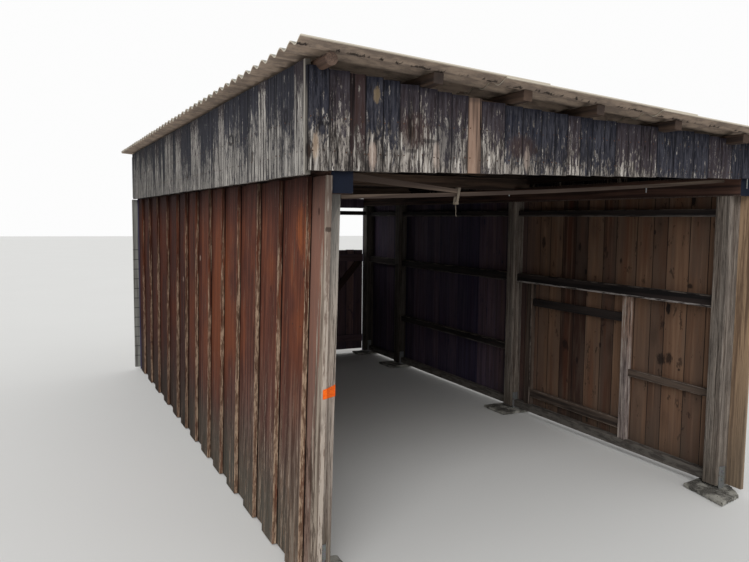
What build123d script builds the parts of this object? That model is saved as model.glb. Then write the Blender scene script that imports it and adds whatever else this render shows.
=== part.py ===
from build123d import *
import math
import os

# Open-fronted timber car shelter. Millimetres, +Z up, ground at Z = 0.
# While it is drawn, X runs from the left wall's outer face to the right, and Y from the front to the back.
# The finished part is moved so that its origin lies on the ground under the middle of the roof.

# Frame members
post = 100.0                    # square section of every main post
right_post_x = 2731.5           # inner face of the right posts
right_post_y = [53.0, 2176.0, 4321.0, 5185.0]    # front faces of the right posts
left_post_y = [100.0, 2176.0, 4321.0, 5185.0]    # front faces of the left posts
left_post_top = 1812.0
left_plate_depth = 149.0
wall_back_y = right_post_y[-1] + post            # back face of the last posts
frame_front_y = -15.0           # front end of the plates, where the front fascia is nailed
frame_set_back = 20.0           # the middle roof frames stand behind the posts' front faces
left_plate_x = 75.0
left_plate_w = 105.0
tie_depth = 100.0
tie_notch = 20.0                # depth of the ties' notches over the right plate
frame_w = 60.0                  # thickness of ties, rafters and struts along Y
right_plate_w = 100.0
right_plate_h = 120.0
strut_w = 80.0
rafter_depth = 100.0

# Boards
board = 25.0                    # thickness of one layer of boards
wall_top_gap = 6.0              # between the walls and the ties
left_wall_front_y = -37.0       # front end of the left wall's inner boards
outer_boards_front_y = 140.0    # front edge of its first outer board
right_wall_front_y = -50.0
left_lean = 25.0                # how far its front corner stands out at the foot and in at the top
right_wall_foot = 35.0

# Roof
roof_fall = 0.0715              # drop per unit of length, from left to right
purlin_rise = 325.0             # top of the first purlin above the tops of the ties
purlin = 50.0                   # square section of the purlins
log_d = 60.0                    # the first purlin is a round log
purlin_x = [18.0, 530.0, 1024.0, 1480.0, 2030.0, 2575.0, 2830.0]
purlin_front_y = -150.0
purlin_back_y = 5470.0
sheet_t = 6.0
wave_pitch = 130.0
wave_rise = 12.0                # half the height of the sheet's middle line
wave_count = 44
sheet_front_y = -200.0
sheet_len = 1250.0
sheet_lap = 250.0
roof_left_x = -135.0
seat = 0.3                      # clearance where a sheet rests
purlins_per_course = 2

# Fascia boards round the eaves
fascia_left_x = -46.0
fascia_right_x = 2920.0
left_fascia_drop = 76.0         # bottom edge below the ties
left_fascia_top_drop = 6.0      # top edge below the first purlin's top
front_fascia_drop = 60.0        # at the left wall's face
# Top edge of the front and back boards: x, drop below the purlins' tops
front_fascia_tops = [(-46.0, 28.0), (1000.0, 48.0), (2300.0, 8.0), (2920.0, 8.0)]
front_fascia_rise = 0.02        # its bottom edge rises to the right
right_fascia_top_drop = 24.0
fascia_gap = 6.0                # between the front fascia and the left wall's top
batten_w = 30.0
batten_h = 60.0
purlin_gap = 4.0                # gap round a purlin where it passes a fascia

# Rails between the posts
rail_w = 60.0
top_rail = (1735.0, 1785.0)
mid_rail = (1160.0, 1235.0)
low_rail = (530.0, 590.0)
foot_rail = (40.0, 100.0)

# Framed panel in the front bay of the right wall
panel_back_y = 2050.0
panel_front_y = 880.0
upright_w = 65.0
upright_t = 45.0
ledge_t = 30.0
upper_ledge = (966.0, 1030.0)
lower_ledge = (165.0, 235.0)
short_ledge = (575.0, 625.0)

# Back wall with its gate
gate_left_x = 1800.0
gate_gap_hinge = 6.0
gate_gap_latch = 9.0
board_set_back = 3.5            # the board at the latch side stands back from the post's face
gate_bottom = 50.0
gate_top = 1320.0
gate_board = 22.0
gate_ledge_t = 25.0
gate_ledge_h = 90.0
gate_ledge_low = 150.0
gate_ledge_high = 1170.0
gate_ledge_inset = 9.0
brace_w = 100.0
gate_post_w = 80.0
lintel_bottom = 1833.0
bar_z = (1747.0, 1797.0)
bar_t = 20.0
rear_board_w = 145.0
rear_board_out = 55.0           # how far the rear corner board shows past the left wall

# Gate hinges: a strap with an eye on the gate, a pin on the wall
strap_t = 5.0
strap_h = 40.0
strap_len = 560.0
eye_r = 8.0
pin_r = 5.0
pin_gap = 0.1
eye_gap = 5.0                   # between the eye and the wall boards
hinge_plate_w = 38.0
hinge_plate_h = 90.0
eye_seat = 0.3

# Feet
pad_h = 30.0
pad_size = 300.0
# Corners of the broken front pad, from its post's near left corner, in shares of a whole pad
broken_corners = [(-0.55, -0.61), (0.19, -0.43), (0.50, 0.02), (0.50, 0.66), (-0.33, 0.55)]
left_pad_size = 200.0
post_foot = 45.0
anchor_t = 5.0
anchor_w = 50.0
anchor_top = 165.0
anchor_bottom = 5.0

# Laths tied across the front
lath_t = 12.0
lath_h = 20.0
long_lath_left_z = 1790.0          # underside at the left post
long_lath_right_z = 1945.0
long_lath_sag = 16.0
tied_lath_left = (1880.0, 1917.0)
tied_lath_right = (1832.0, 1850.0)
tied_lath_end_x = 800.0

# The band that ties the two laths, and its loose end
band_t = 2.5
band_w = 15.0
band_top_x = 796.0
band_knot_x = 784.0
band_knot_z = 1786.0
knot_d = 20.0
string_d = 3.0
string_route = [(0.0, 0.0, 0.0), (0.0, 0.0, -18.0), (1.8, -1.2, -35.0), (0.4, 0.6, -51.0),
                (5.4, 0.2, -59.0)]

right_wall_x = right_post_x + post
gate_right_x = right_post_x + board_set_back
sheet_ends = [roof_left_x + i * (sheet_len - sheet_lap) for i in range(3)]
roof_right_x = sheet_ends[-1] + sheet_len
centre_x = (roof_left_x + roof_right_x) / 2
sheet_back_y = sheet_front_y + wave_count * wave_pitch
centre_y = (sheet_front_y + sheet_back_y) / 2
back_board_y = wall_back_y + board
fascia_back_y = back_board_y + board
frame_y = [frame_front_y] + [y + frame_set_back for y in right_post_y[1:3]] + [back_board_y - frame_w]
tie_bottom = left_post_top + left_plate_depth
tie_top = tie_bottom + tie_depth
right_post_top = tie_bottom + tie_notch - right_plate_h
wall_top = tie_bottom - wall_top_gap
purlin_top_left = tie_top + purlin_rise
left_fascia_bottom = tie_bottom - left_fascia_drop
left_fascia_top = purlin_top_left - left_fascia_top_drop
front_fascia_bottom = tie_bottom - front_fascia_drop
left_wall_top = front_fascia_bottom - fascia_gap
ground_origin = Location((-centre_x, -centre_y, 0))

os.makedirs("parts", exist_ok=True)


def save(name, *solids):
    """Move the solids to the part's origin and write them as one node."""
    moved = [solid.moved(ground_origin) for solid in solids]
    export_step(moved[0] if len(moved) == 1 else Compound(moved), f"parts/{name}.step")


def block(x, y, z):
    """A box from three (low, high) pairs."""
    size = (x[1] - x[0], y[1] - y[0], z[1] - z[0])
    return Pos(x[0], y[0], z[0]) * Box(*size, align=(Align.MIN, Align.MIN, Align.MIN))


def prism(points, along):
    """A flat polygon moved along a vector."""
    face = Face(Wire.make_polygon([Vector(*p) for p in points]))
    return extrude(face, Vector(*along).length, dir=along)


def plate_xz(points, y):
    """A polygon of (x, z) points with a thickness along Y."""
    return prism([(px, y[0], pz) for px, pz in points], (0, y[1] - y[0], 0))


def between(near, far):
    """A straight-edged solid between two quads of points."""
    wires = [Wire.make_polygon([Vector(*p) for p in quad]) for quad in (near, far)]
    return Solid.make_loft(wires, ruled=True)


def purlin_line(x):
    """Height of the purlins' tops at x."""
    return purlin_top_left - roof_fall * (x - purlin_x[0])


def left_face(y, z):
    """The left wall's outer face: plumb at the back, racked at the front corner."""
    share = (wall_back_y - y) / (wall_back_y - left_wall_front_y)
    return left_lean * share * (2 * z / wall_top - 1)


# Posts, their pads and anchors

def left_inner(y, z):
    return left_face(y, z) + 2 * board


def left_post(y):
    """A post that leans with the wall it stands against."""
    quads = []
    for z in (post_foot, left_post_top):
        x = max(left_inner(y, z), left_inner(y + post, z)) + seat
        quads.append([(x, y, z), (x + post, y, z), (x + post, y + post, z), (x, y + post, z)])
    return between(*quads)


def right_post(y):
    return block((right_post_x, right_post_x + post), (y, y + post), (post_foot, right_post_top))


def anchor(x, y):
    """A steel cradle under a post: two straps and the plate that joins them."""
    out = (x + (post - anchor_w) / 2, x + (post + anchor_w) / 2)
    tray = block(out, (y - anchor_t, y + post + anchor_t), (post_foot - anchor_t, post_foot))
    for strap_y in (y - anchor_t, y + post):
        tray += block(out, (strap_y, strap_y + anchor_t), (anchor_bottom, anchor_top))
    return tray


def left_pad(y):
    """A pad beside the left wall's foot."""
    middle = y + post / 2
    span = (middle - left_pad_size / 2, min(middle + left_pad_size / 2, wall_back_y))
    x = max(left_inner(other, z) for other in span for z in (0, pad_h)) + seat
    return block((x, x + left_pad_size), span, (0, pad_h))


def right_pad(y):
    middle = y + post / 2
    span = (middle - pad_size / 2, min(middle + pad_size / 2, wall_back_y))
    return block((right_post_x - pad_size / 2, right_post_x + pad_size / 2), span, (0, pad_h))


def broken_pad(y):
    """The front pad on the right, a broken piece of slab."""
    corners = [(right_post_x + out * pad_size, y + back * pad_size, 0) for out, back in broken_corners]
    return prism(corners, (0, 0, pad_h))


left_posts = [left_post(y) for y in left_post_y]
right_posts = [right_post(y) for y in right_post_y]
save("left_front_post", left_posts[0])
save("left_posts", *left_posts[1:])
save("right_front_post", right_posts[0])
save("right_posts", *right_posts[1:])

foot_x = [max(left_inner(y, 0), left_inner(y + post, 0)) + seat for y in left_post_y]
anchors = [anchor(x, y) for x, y in zip(foot_x, left_post_y)]
anchors += [anchor(right_post_x, y) for y in right_post_y]
pads = [left_pad(y) for y in left_post_y]
pads += [broken_pad(right_post_y[0])] + [right_pad(y) for y in right_post_y[1:]]
pads = [pad - fixing for pad, fixing in zip(pads, anchors)]
save("post_pads", *pads)
save("post_anchors", *anchors)
save("gate_post", block((gate_left_x - gate_post_w, gate_left_x),
                        (wall_back_y - gate_post_w, wall_back_y), (0, tie_bottom)))

# Walls, cut round the anchors' straps

def left_wall_end(y, layer):
    """The section at y of one layer of the left wall, between two depths from its outer face."""
    near, far = layer
    (x0, z0), (x1, z1) = [(left_face(y, z), z) for z in (0.0, left_wall_top)]
    return [(x0 + near, y, z0), (x0 + far, y, z0), (x1 + far, y, z1), (x1 + near, y, z1)]


def clear_of(solid, others):
    """Cut the solid round the others that reach into it."""
    for other in others:
        solid -= other
    return solid


layers = {"left_outer_boards": (outer_boards_front_y, (0.0, board)),
          "left_wall": (left_wall_front_y, (board + seat, 2 * board))}
for name, (front_y, layer) in layers.items():
    save(name, between(left_wall_end(front_y, layer), left_wall_end(wall_back_y, layer)))
save("right_wall", block((right_wall_x, right_wall_x + board), (right_wall_front_y, wall_back_y),
                         (right_wall_foot, wall_top)))
back_y = (wall_back_y, back_board_y)
back_anchors = [anchors[len(left_post_y) - 1], anchors[-1]]
back_wall = block((0, gate_left_x), back_y, (0, wall_top))
back_right_board = block((gate_right_x, right_wall_x + board), back_y, (0, lintel_bottom))
save("back_wall", clear_of(back_wall, back_anchors))
save("back_lintel", block((gate_left_x, right_wall_x + board), back_y, (lintel_bottom, wall_top)))
save("back_right_board", clear_of(back_right_board, back_anchors))
save("rear_corner_board", block((-rear_board_out, rear_board_w - rear_board_out),
                                (back_board_y, fascia_back_y), (pad_h, left_fascia_bottom)))


# Roof frame: plates, ties, rafters and struts

plate_y = (frame_front_y, wall_back_y)
left_plate = block((left_plate_x, left_plate_x + left_plate_w), plate_y, (left_post_top, tie_bottom))
right_plate = block((right_post_x, right_post_x + right_plate_w), plate_y,
                    (right_post_top, right_post_top + right_plate_h))
save("left_plate", left_plate)
save("right_plate", right_plate)

frame_x = (fascia_left_x + board, fascia_right_x - board)
ties = []
rafters = []
struts = []
rafter_top_drop = purlin
landing_x = purlin_x[0] + (purlin_top_left - rafter_top_drop - rafter_depth - tie_top) / roof_fall
for y in frame_y:
    span = (y, y + frame_w)
    ties.append(block(frame_x, span, (tie_bottom, tie_top)) - right_plate)
    upper = [(x, purlin_line(x) - rafter_top_drop) for x in frame_x]
    lower = [(frame_x[1], tie_top), (landing_x, tie_top),
             (frame_x[0], purlin_line(frame_x[0]) - rafter_top_drop - rafter_depth)]
    rafters.append(plate_xz(upper + lower, span))
    middle = left_plate_x + left_plate_w / 2
    strut_x = (middle - strut_w / 2, middle + strut_w / 2)
    head = [(x, purlin_line(x) - rafter_top_drop - rafter_depth) for x in strut_x]
    struts.append(plate_xz([(strut_x[0], tie_top), head[0], head[1], (strut_x[1], tie_top)], span))
save("tie_beams", *ties)
save("rafters", *rafters)
save("left_struts", *struts)

# Purlins

purlin_span = (purlin_front_y, purlin_back_y)
lap_step = sheet_t + seat


def square_purlin(x, raised, grow):
    """A squared pole lying on the rafters' slope; grow widens it for the fascia's notches."""
    half = purlin / 2 + grow
    top = [(x + side, purlin_line(x + side) + raised + grow) for side in (-half, half)]
    foot = [(x + side, purlin_line(x + side) - purlin - grow) for side in (half, -half)]
    return plate_xz(top + foot, purlin_span)


def log_purlin(grow):
    radius = log_d / 2 + grow
    middle = Plane(origin=(purlin_x[0], purlin_span[0], purlin_top_left - log_d / 2), z_dir=(0, 1, 0))
    return extrude(middle * Circle(radius), purlin_span[1] - purlin_span[0])


log = log_purlin(0)
for rafter in rafters:
    log -= rafter
save("log_purlin", log)
raise_last = [0.0] * (len(purlin_x) - 1) + [lap_step]
squared = [square_purlin(x, up, 0) for x, up in zip(purlin_x[1:], raise_last[1:])]
save("purlins", *squared)

# Corrugated sheets: each course lies on two purlins, and its lower end on the next course


def wave_section(x, height):
    """One course's section in the plane at x: a crest at each edge, its troughs at the given height."""
    quarter = wave_pitch / 4
    radius = (quarter ** 2 + wave_rise ** 2) / (2 * wave_rise)
    shoulder = wave_rise - radius + math.sqrt(radius ** 2 - (quarter / 2) ** 2)
    edges = []
    for level in (height + wave_rise, height + wave_rise + sheet_t):
        front = sheet_front_y + quarter
        back = sheet_back_y - quarter
        edges.append(Edge.make_three_point_arc(Vector(x, sheet_front_y, level + wave_rise),
                                               Vector(x, sheet_front_y + quarter / 2, level + shoulder),
                                               Vector(x, front, level)))
        for i in range(wave_count * 2 - 1):
            y0 = front + i * wave_pitch / 2
            peak = -wave_rise if i % 2 == 0 else wave_rise
            edges.append(Edge.make_three_point_arc(Vector(x, y0, level),
                                                   Vector(x, y0 + quarter, level + peak),
                                                   Vector(x, y0 + 2 * quarter, level)))
        edges.append(Edge.make_three_point_arc(Vector(x, back, level),
                                               Vector(x, back + quarter / 2, level + shoulder),
                                               Vector(x, sheet_back_y, level + wave_rise)))
    low = height + 2 * wave_rise
    for y in (sheet_front_y, sheet_back_y):
        edges.append(Edge.make_line(Vector(x, y, low), Vector(x, y, low + sheet_t)))
    return Face(Wire(edges))


course_names = ["roof_course_upper", "roof_course_middle", "roof_course_lower"]
supports = [(i * purlins_per_course, (i + 1) * purlins_per_course) for i in range(len(course_names))]
for name, start, (high, low) in zip(course_names, sheet_ends, supports):
    high_z = purlin_line(purlin_x[high]) + seat
    low_z = purlin_line(purlin_x[low]) + lap_step + seat
    slope = (low_z - high_z) / (purlin_x[low] - purlin_x[high])
    start_z = high_z + slope * (start - purlin_x[high])
    along = Vector(sheet_len, 0, slope * sheet_len)
    save(name, extrude(wave_section(start, start_z), along.length, dir=along))

# Fascia boards and the battens behind them


def end_fascia(y, bottom_rise):
    """The fascia at the front or the back, cut out where the purlins pass."""
    ends = (fascia_left_x, fascia_right_x)
    low = [(x, front_fascia_bottom + bottom_rise * x) for x in ends]
    high = [(x, purlin_line(x) - drop) for x, drop in reversed(front_fascia_tops)]
    face = plate_xz(low + high, y)
    face -= log_purlin(purlin_gap)
    for x in purlin_x[1:]:
        face -= square_purlin(x, purlin, purlin_gap)
    return face


right_fascia_bottom = front_fascia_bottom + front_fascia_rise * fascia_right_x
right_fascia_top = purlin_line(fascia_right_x) - right_fascia_top_drop
save("front_fascia", end_fascia((frame_front_y - board, frame_front_y), front_fascia_rise))
save("back_fascia", end_fascia((back_board_y, fascia_back_y), front_fascia_rise))
side_y = (frame_front_y, back_board_y)
save("left_fascia", block((fascia_left_x, fascia_left_x + board), side_y,
                          (left_fascia_bottom, left_fascia_top)))
save("right_fascia", block((fascia_right_x - board, fascia_right_x), side_y,
                           (right_fascia_bottom, right_fascia_top)))

battens = []
left_batten_x = (frame_x[0], frame_x[0] + batten_w)
right_batten_x = (frame_x[1] - batten_w, frame_x[1])
left_batten_high = purlin_line(frame_x[0]) - rafter_top_drop - rafter_depth
for near, far in zip(frame_y[:-1], frame_y[1:]):
    bay = (near + frame_w, far)
    battens.append(block(left_batten_x, bay, (tie_bottom, tie_bottom + batten_h)))
    battens.append(block(left_batten_x, bay, (left_batten_high, left_batten_high + batten_h)))
    battens.append(block(right_batten_x, bay, (tie_bottom + right_plate_h / 2, tie_bottom + right_plate_h)))
save("fascia_battens", *battens)

# Rails that carry the boards

right_rail_x = (right_wall_x - rail_w, right_wall_x)
right_bays = [(near + post, far) for near, far in zip(right_post_y[:-1], right_post_y[1:])]
left_bays = [(near + post, far) for near, far in zip(left_post_y[:-1], left_post_y[1:])]
save("right_top_rails", *[block(right_rail_x, bay, top_rail) for bay in right_bays])
save("right_mid_rails", *[block(right_rail_x, bay, mid_rail) for bay in right_bays])
right_foot_rails = [clear_of(block(right_rail_x, bay, foot_rail), anchors) for bay in right_bays]
save("right_low_rails", block(right_rail_x, right_bays[1], low_rail), *right_foot_rails)


def left_rail(bay, height):
    """A rail on the racked left wall, between two posts."""
    quads = []
    for y in bay:
        x = [left_inner(y, z) + seat for z in height]
        quads.append([(x[0], y, height[0]), (x[0] + rail_w, y, height[0]),
                      (x[1] + rail_w, y, height[1]), (x[1], y, height[1])])
    return between(*quads)


rail_heights = (top_rail, mid_rail, foot_rail)
left_rails = [left_rail(bay, height) for bay in left_bays for height in rail_heights]
save("left_rails", *[clear_of(rail, anchors) for rail in left_rails])
last_post_x = max(left_inner(left_post_y[-1], z) for z in (post_foot, left_post_top)) + seat + post
back_rail_x = (last_post_x, gate_left_x - gate_post_w)
back_rail_y = (wall_back_y - rail_w, wall_back_y)
save("back_rails", *[block(back_rail_x, back_rail_y, height) for height in rail_heights])

# The framed panel on the right wall's front bay

upright_x = (right_wall_x - upright_t, right_wall_x)
ledge_x = (right_wall_x - ledge_t, right_wall_x)
panel_z = (foot_rail[1], mid_rail[0])
upright_ys = (panel_front_y, panel_back_y - upright_w)
uprights = [block(upright_x, (y, y + upright_w), panel_z) for y in upright_ys]
save("panel_uprights", *uprights)
panel_bay = (panel_front_y + upright_w, panel_back_y - upright_w)
front_bay = (right_bays[0][0], panel_front_y)
save("panel_ledges", block(ledge_x, panel_bay, upper_ledge), block(ledge_x, panel_bay, lower_ledge),
     block(ledge_x, front_bay, short_ledge))

# Back opening bar and the gate

bar_y = (wall_back_y - rail_w, wall_back_y - rail_w + bar_t)
save("opening_bar", block((gate_left_x, right_post_x), bar_y, bar_z))

gate_x = (gate_left_x + gate_gap_hinge, right_post_x - gate_gap_latch)
leaf_y = (wall_back_y, wall_back_y + gate_board)
ledge_y = (wall_back_y - gate_ledge_t, wall_back_y)
ledge_span = (gate_x[0] + gate_ledge_inset, gate_x[1] - gate_ledge_inset)
save("gate_leaf", block(gate_x, leaf_y, (gate_bottom, gate_top)))
ledge_heights = [(low, low + gate_ledge_h) for low in (gate_ledge_low, gate_ledge_high)]
save("gate_ledges", *[block(ledge_span, ledge_y, height) for height in ledge_heights])
brace_z = (ledge_heights[0][1], ledge_heights[1][0])
brace = [(ledge_span[0], brace_z[0]), (ledge_span[0] + brace_w, brace_z[0]),
         (ledge_span[1], brace_z[1]), (ledge_span[1] - brace_w, brace_z[1])]
save("gate_brace", plate_xz(brace, ledge_y))

pivot = (gate_left_x, back_board_y + eye_gap + eye_r)


def turned(radius, z):
    """A round bar about the hinge's pivot, between two heights."""
    upright = (Align.CENTER, Align.CENTER, Align.MIN)
    return Pos(pivot[0], pivot[1], z[0]) * Cylinder(radius, z[1] - z[0], align=upright)


def hinge(z):
    """The strap with its eye, and the pin with its plate, at the height of one ledge."""
    eye_z = (z - strap_h / 2, z + strap_h / 2)
    eye = turned(eye_r, eye_z)
    strap_y = (leaf_y[1], leaf_y[1] + strap_t)
    strap = block((gate_x[0], gate_x[0] + strap_len), strap_y, eye_z)
    crank = block((pivot[0], gate_x[0] + strap_t), (strap_y[1] - strap_t, pivot[1]), eye_z)
    crank -= block((pivot[0], gate_x[0]), (strap_y[0], back_board_y + eye_gap), eye_z)
    band = strap + crank + eye - turned(pin_r + pin_gap, eye_z)
    arm_top = eye_z[0] - eye_seat
    plate_x = (pivot[0] - hinge_plate_w, pivot[0])
    plate = block(plate_x, (back_board_y, back_board_y + strap_t), (arm_top - hinge_plate_h, arm_top))
    arm_z = (arm_top - strap_h / 2, arm_top)
    arm = block((pivot[0] - eye_r, pivot[0]), (back_board_y, pivot[1]), arm_z)
    boss = turned(eye_r, arm_z)
    pin = turned(pin_r, (arm_top, eye_z[1] + eye_seat))
    return band, plate + arm + boss + pin


hinges = [hinge((low + high) / 2) for low, high in ledge_heights]
save("gate_straps", *[band for band, _ in hinges])
save("gate_pins", *[pin for _, pin in hinges])

# Laths across the front opening

lath_y = (left_post_y[0], left_post_y[0] + lath_t)
post_side = left_inner(left_post_y[0], left_post_top) + seat + post
lath_span = (post_side + seat, right_post_x - seat)
lath_mid = sum(lath_span) / 2
mid_z = (long_lath_left_z + long_lath_right_z) / 2 - long_lath_sag
bows = []
for lift in (0.0, lath_h):
    ends = [Vector(lath_span[0], lath_y[0], long_lath_left_z + lift),
            Vector(lath_mid, lath_y[0], mid_z + lift),
            Vector(lath_span[1], lath_y[0], long_lath_right_z + lift)]
    bows.append((Edge.make_three_point_arc(*ends), ends[0], ends[2]))
(lower_bow, low_a, low_b), (upper_bow, high_a, high_b) = bows
lath_outline = Wire([lower_bow, Edge.make_line(low_b, high_b), upper_bow, Edge.make_line(high_a, low_a)])
save("long_lath", extrude(Face(lath_outline), lath_t, dir=(0, 1, 0)))
plate_side = left_plate_x + left_plate_w
tied = [(plate_side, tied_lath_left[0]), (tied_lath_end_x, tied_lath_right[0]),
        (tied_lath_end_x, tied_lath_right[1]), (plate_side, tied_lath_left[1])]
save("tied_lath", plate_xz(tied, (lath_y[0] - lath_t, lath_y[0])))

# The band round both laths: two legs that meet in a knot, and its loose end

band_y = (lath_y[0] - lath_t - seat - band_t, lath_y[1] + seat + band_t)
band_top_z = tied_lath_right[1] + band_w / 2
leg = [(band_knot_x, band_knot_z), (band_knot_x + band_w, band_knot_z),
       (band_top_x + band_w, band_top_z), (band_top_x, band_top_z)]
legs = [plate_xz(leg, (y, y + band_t)) for y in (band_y[0], band_y[1] - band_t)]
bridge = block((band_top_x, band_top_x + band_w), band_y, (band_top_z, band_top_z + band_t))
knot_middle = (band_knot_x + band_w / 2, sum(band_y) / 2, band_knot_z)
knot_h = knot_d / 2
knot = Pos(knot_middle[0], knot_middle[1], band_knot_z - knot_h) * Cylinder(
    (band_y[1] - band_y[0]) / 2, knot_h, align=(Align.CENTER, Align.CENTER, Align.MIN))
save("lath_tie", legs[0] + legs[1] + bridge + knot)

start = Vector(knot_middle[0], knot_middle[1], band_knot_z - knot_h)
points = [start + Vector(*step) for step in string_route]
radii = []
for before, corner, after in zip(points[:-2], points[1:-1], points[2:]):
    turn = (corner - before).get_angle(after - corner)
    shorter = min((corner - before).length, (after - corner).length)
    radii.append(0.45 * shorter / math.tan(math.radians(turn) / 2))
print("tie_string radii", [round(radius, 1) for radius in radii])
string_line = FilletPolyline(*points, radius=radii)
string_section = Plane(origin=points[0], z_dir=points[1] - points[0]) * Circle(string_d / 2)
save("tie_string", sweep(string_section, path=string_line))
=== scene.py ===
import math
import random

import bpy
from mathutils import Matrix, Vector


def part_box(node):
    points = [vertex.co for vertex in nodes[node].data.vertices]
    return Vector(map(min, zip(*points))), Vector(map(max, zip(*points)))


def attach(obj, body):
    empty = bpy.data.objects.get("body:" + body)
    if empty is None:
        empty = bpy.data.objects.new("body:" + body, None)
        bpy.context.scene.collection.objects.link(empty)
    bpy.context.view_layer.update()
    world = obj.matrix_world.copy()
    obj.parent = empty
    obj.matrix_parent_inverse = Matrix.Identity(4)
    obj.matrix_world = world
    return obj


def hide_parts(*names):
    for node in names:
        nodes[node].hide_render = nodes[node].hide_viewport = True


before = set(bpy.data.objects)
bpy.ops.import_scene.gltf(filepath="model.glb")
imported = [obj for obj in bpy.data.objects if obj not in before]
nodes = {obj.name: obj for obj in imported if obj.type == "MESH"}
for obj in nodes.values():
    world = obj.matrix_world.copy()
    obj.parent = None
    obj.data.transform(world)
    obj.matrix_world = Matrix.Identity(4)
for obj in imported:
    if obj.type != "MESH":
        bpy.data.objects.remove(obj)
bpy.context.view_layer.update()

# Where the drawing's zero lies: at the left wall's outer face, and beside the front posts.
left_x, front_y = -1.490, -2.660


# Camera and daylight. A person stands to the left of the front opening and looks along the left wall
# and into the shelter at once; the light is soft and comes from in front, above and a little left.

eye = Vector((-2.633, -5.5904, 1.70))
yaw, pitch, roll = 0.4569, 0.0863, 0.0099
look = Vector((math.sin(yaw) * math.cos(pitch), math.cos(yaw) * math.cos(pitch), -math.sin(pitch)))
level = Vector((math.cos(yaw), -math.sin(yaw), 0.0))
upward = level.cross(look)
side = math.cos(roll) * level + math.sin(roll) * upward
head = -math.sin(roll) * level + math.cos(roll) * upward
sensor_width = 36.0
picture_width = 749.0
focal_length_in_pixels = 715.89


def in_scene(name, data):
    """A new object for the data, linked into the scene."""
    thing = bpy.data.objects.new(name, data)
    bpy.context.scene.collection.objects.link(thing)
    return thing


camera_data = bpy.data.cameras.new("camera")
camera_data.sensor_fit = "HORIZONTAL"
camera_data.sensor_width = sensor_width
camera_data.lens = focal_length_in_pixels * sensor_width / picture_width
camera_data.clip_end = 200.0
camera = in_scene("camera", camera_data)
camera.matrix_world = Matrix.Translation(eye) @ Matrix((side, head, -look)).transposed().to_4x4()
bpy.context.scene.camera = camera
bpy.context.scene.view_settings.view_transform = "Standard"


def operator(operation):
    """A method that adds a math node, with the signal first and then what it is worked out with."""
    def method(signal, *others):
        return signal.math(operation, signal, *others)
    return method


class Signal:
    """A value in a node tree: arithmetic on it adds the nodes that work it out."""

    def __init__(self, tree, socket):
        self.tree = tree
        self.socket = socket

    def math(self, operation, *values, clamp=False):
        settings = {"operation": operation, "use_clamp": clamp}
        return add(self.tree, "ShaderNodeMath", settings, dict(enumerate(values)))

    __add__ = __radd__ = operator("ADD")
    __sub__ = operator("SUBTRACT")
    __mul__ = __rmul__ = operator("MULTIPLY")
    __truediv__ = operator("DIVIDE")
    __abs__ = operator("ABSOLUTE")
    __gt__ = operator("GREATER_THAN")
    __lt__ = operator("LESS_THAN")
    sine = operator("SINE")
    sign = operator("SIGN")
    greater = operator("MAXIMUM")
    root = operator("SQRT")

    def __rsub__(self, other):
        return self.math("SUBTRACT", other, self)

    def clamped(self):
        return self.math("ADD", self, 0.0, clamp=True)

    def axes(self):
        node = self.tree.nodes.new("ShaderNodeSeparateXYZ")
        self.tree.links.new(self.socket, node.inputs[0])
        return [Signal(self.tree, output) for output in node.outputs]

    def vector_math(self, operation, other):
        return add(self.tree, "ShaderNodeVectorMath", {"operation": operation}, {0: self, 1: other})

    def stretched(self, factors):
        return self.vector_math("MULTIPLY", factors)

    def moved(self, offset):
        return self.vector_math("ADD", offset)


def add(tree, kind, settings, sockets, output=0):
    """One node: its settings first, then the values or links of its sockets."""
    node = tree.nodes.new(kind)
    for key, value in settings.items():
        setattr(node, key, value)
    for key, value in sockets.items():
        if isinstance(value, Signal):
            tree.links.new(value.socket, node.inputs[key])
        else:
            node.inputs[key].default_value = value
    return Signal(tree, node.outputs[output]) if node.outputs else None


def tree_of(*values):
    return next(value.tree for value in values if isinstance(value, Signal))


def vector(x, y, z):
    return add(tree_of(x, y, z), "ShaderNodeCombineXYZ", {}, {0: x, 1: y, 2: z})


def noise(place, scale=1.0, detail=2.0, rough=0.5):
    sockets = {"Vector": place, "Scale": scale, "Detail": detail, "Roughness": rough}
    return add(place.tree, "ShaderNodeTexNoise", {}, sockets)


def drawn_out(place, across, along, detail, rough=0.5):
    """Noise that is finer across the fibres than along them."""
    return noise(place.stretched((across, across, along)), 1.0, detail, rough)


def ease(value, low, high):
    """0 at low, 1 at high, smooth between; low may be the larger."""
    sockets = {"Value": value, "From Min": low, "From Max": high}
    return add(value.tree, "ShaderNodeMapRange", {"interpolation_type": "SMOOTHSTEP"}, sockets)


def tint(colour):
    """A colour as the eye sees it, 0 to 255, for a colour socket; a signal stays as it is."""
    if isinstance(colour, Signal):
        return colour
    values = [channel / 255 for channel in colour]
    values = [v / 12.92 if v <= 0.04045 else ((v + 0.055) / 1.055) ** 2.4 for v in values]
    return (*values, 1.0)


def blend(share, under, over, way="MIX"):
    """Lays the colour over on the colour under."""
    settings = {"data_type": "RGBA", "blend_type": way}
    sockets = {0: share, 6: tint(under), 7: tint(over)}
    return add(tree_of(share, under, over), "ShaderNodeMix", settings, sockets, output=2)


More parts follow.
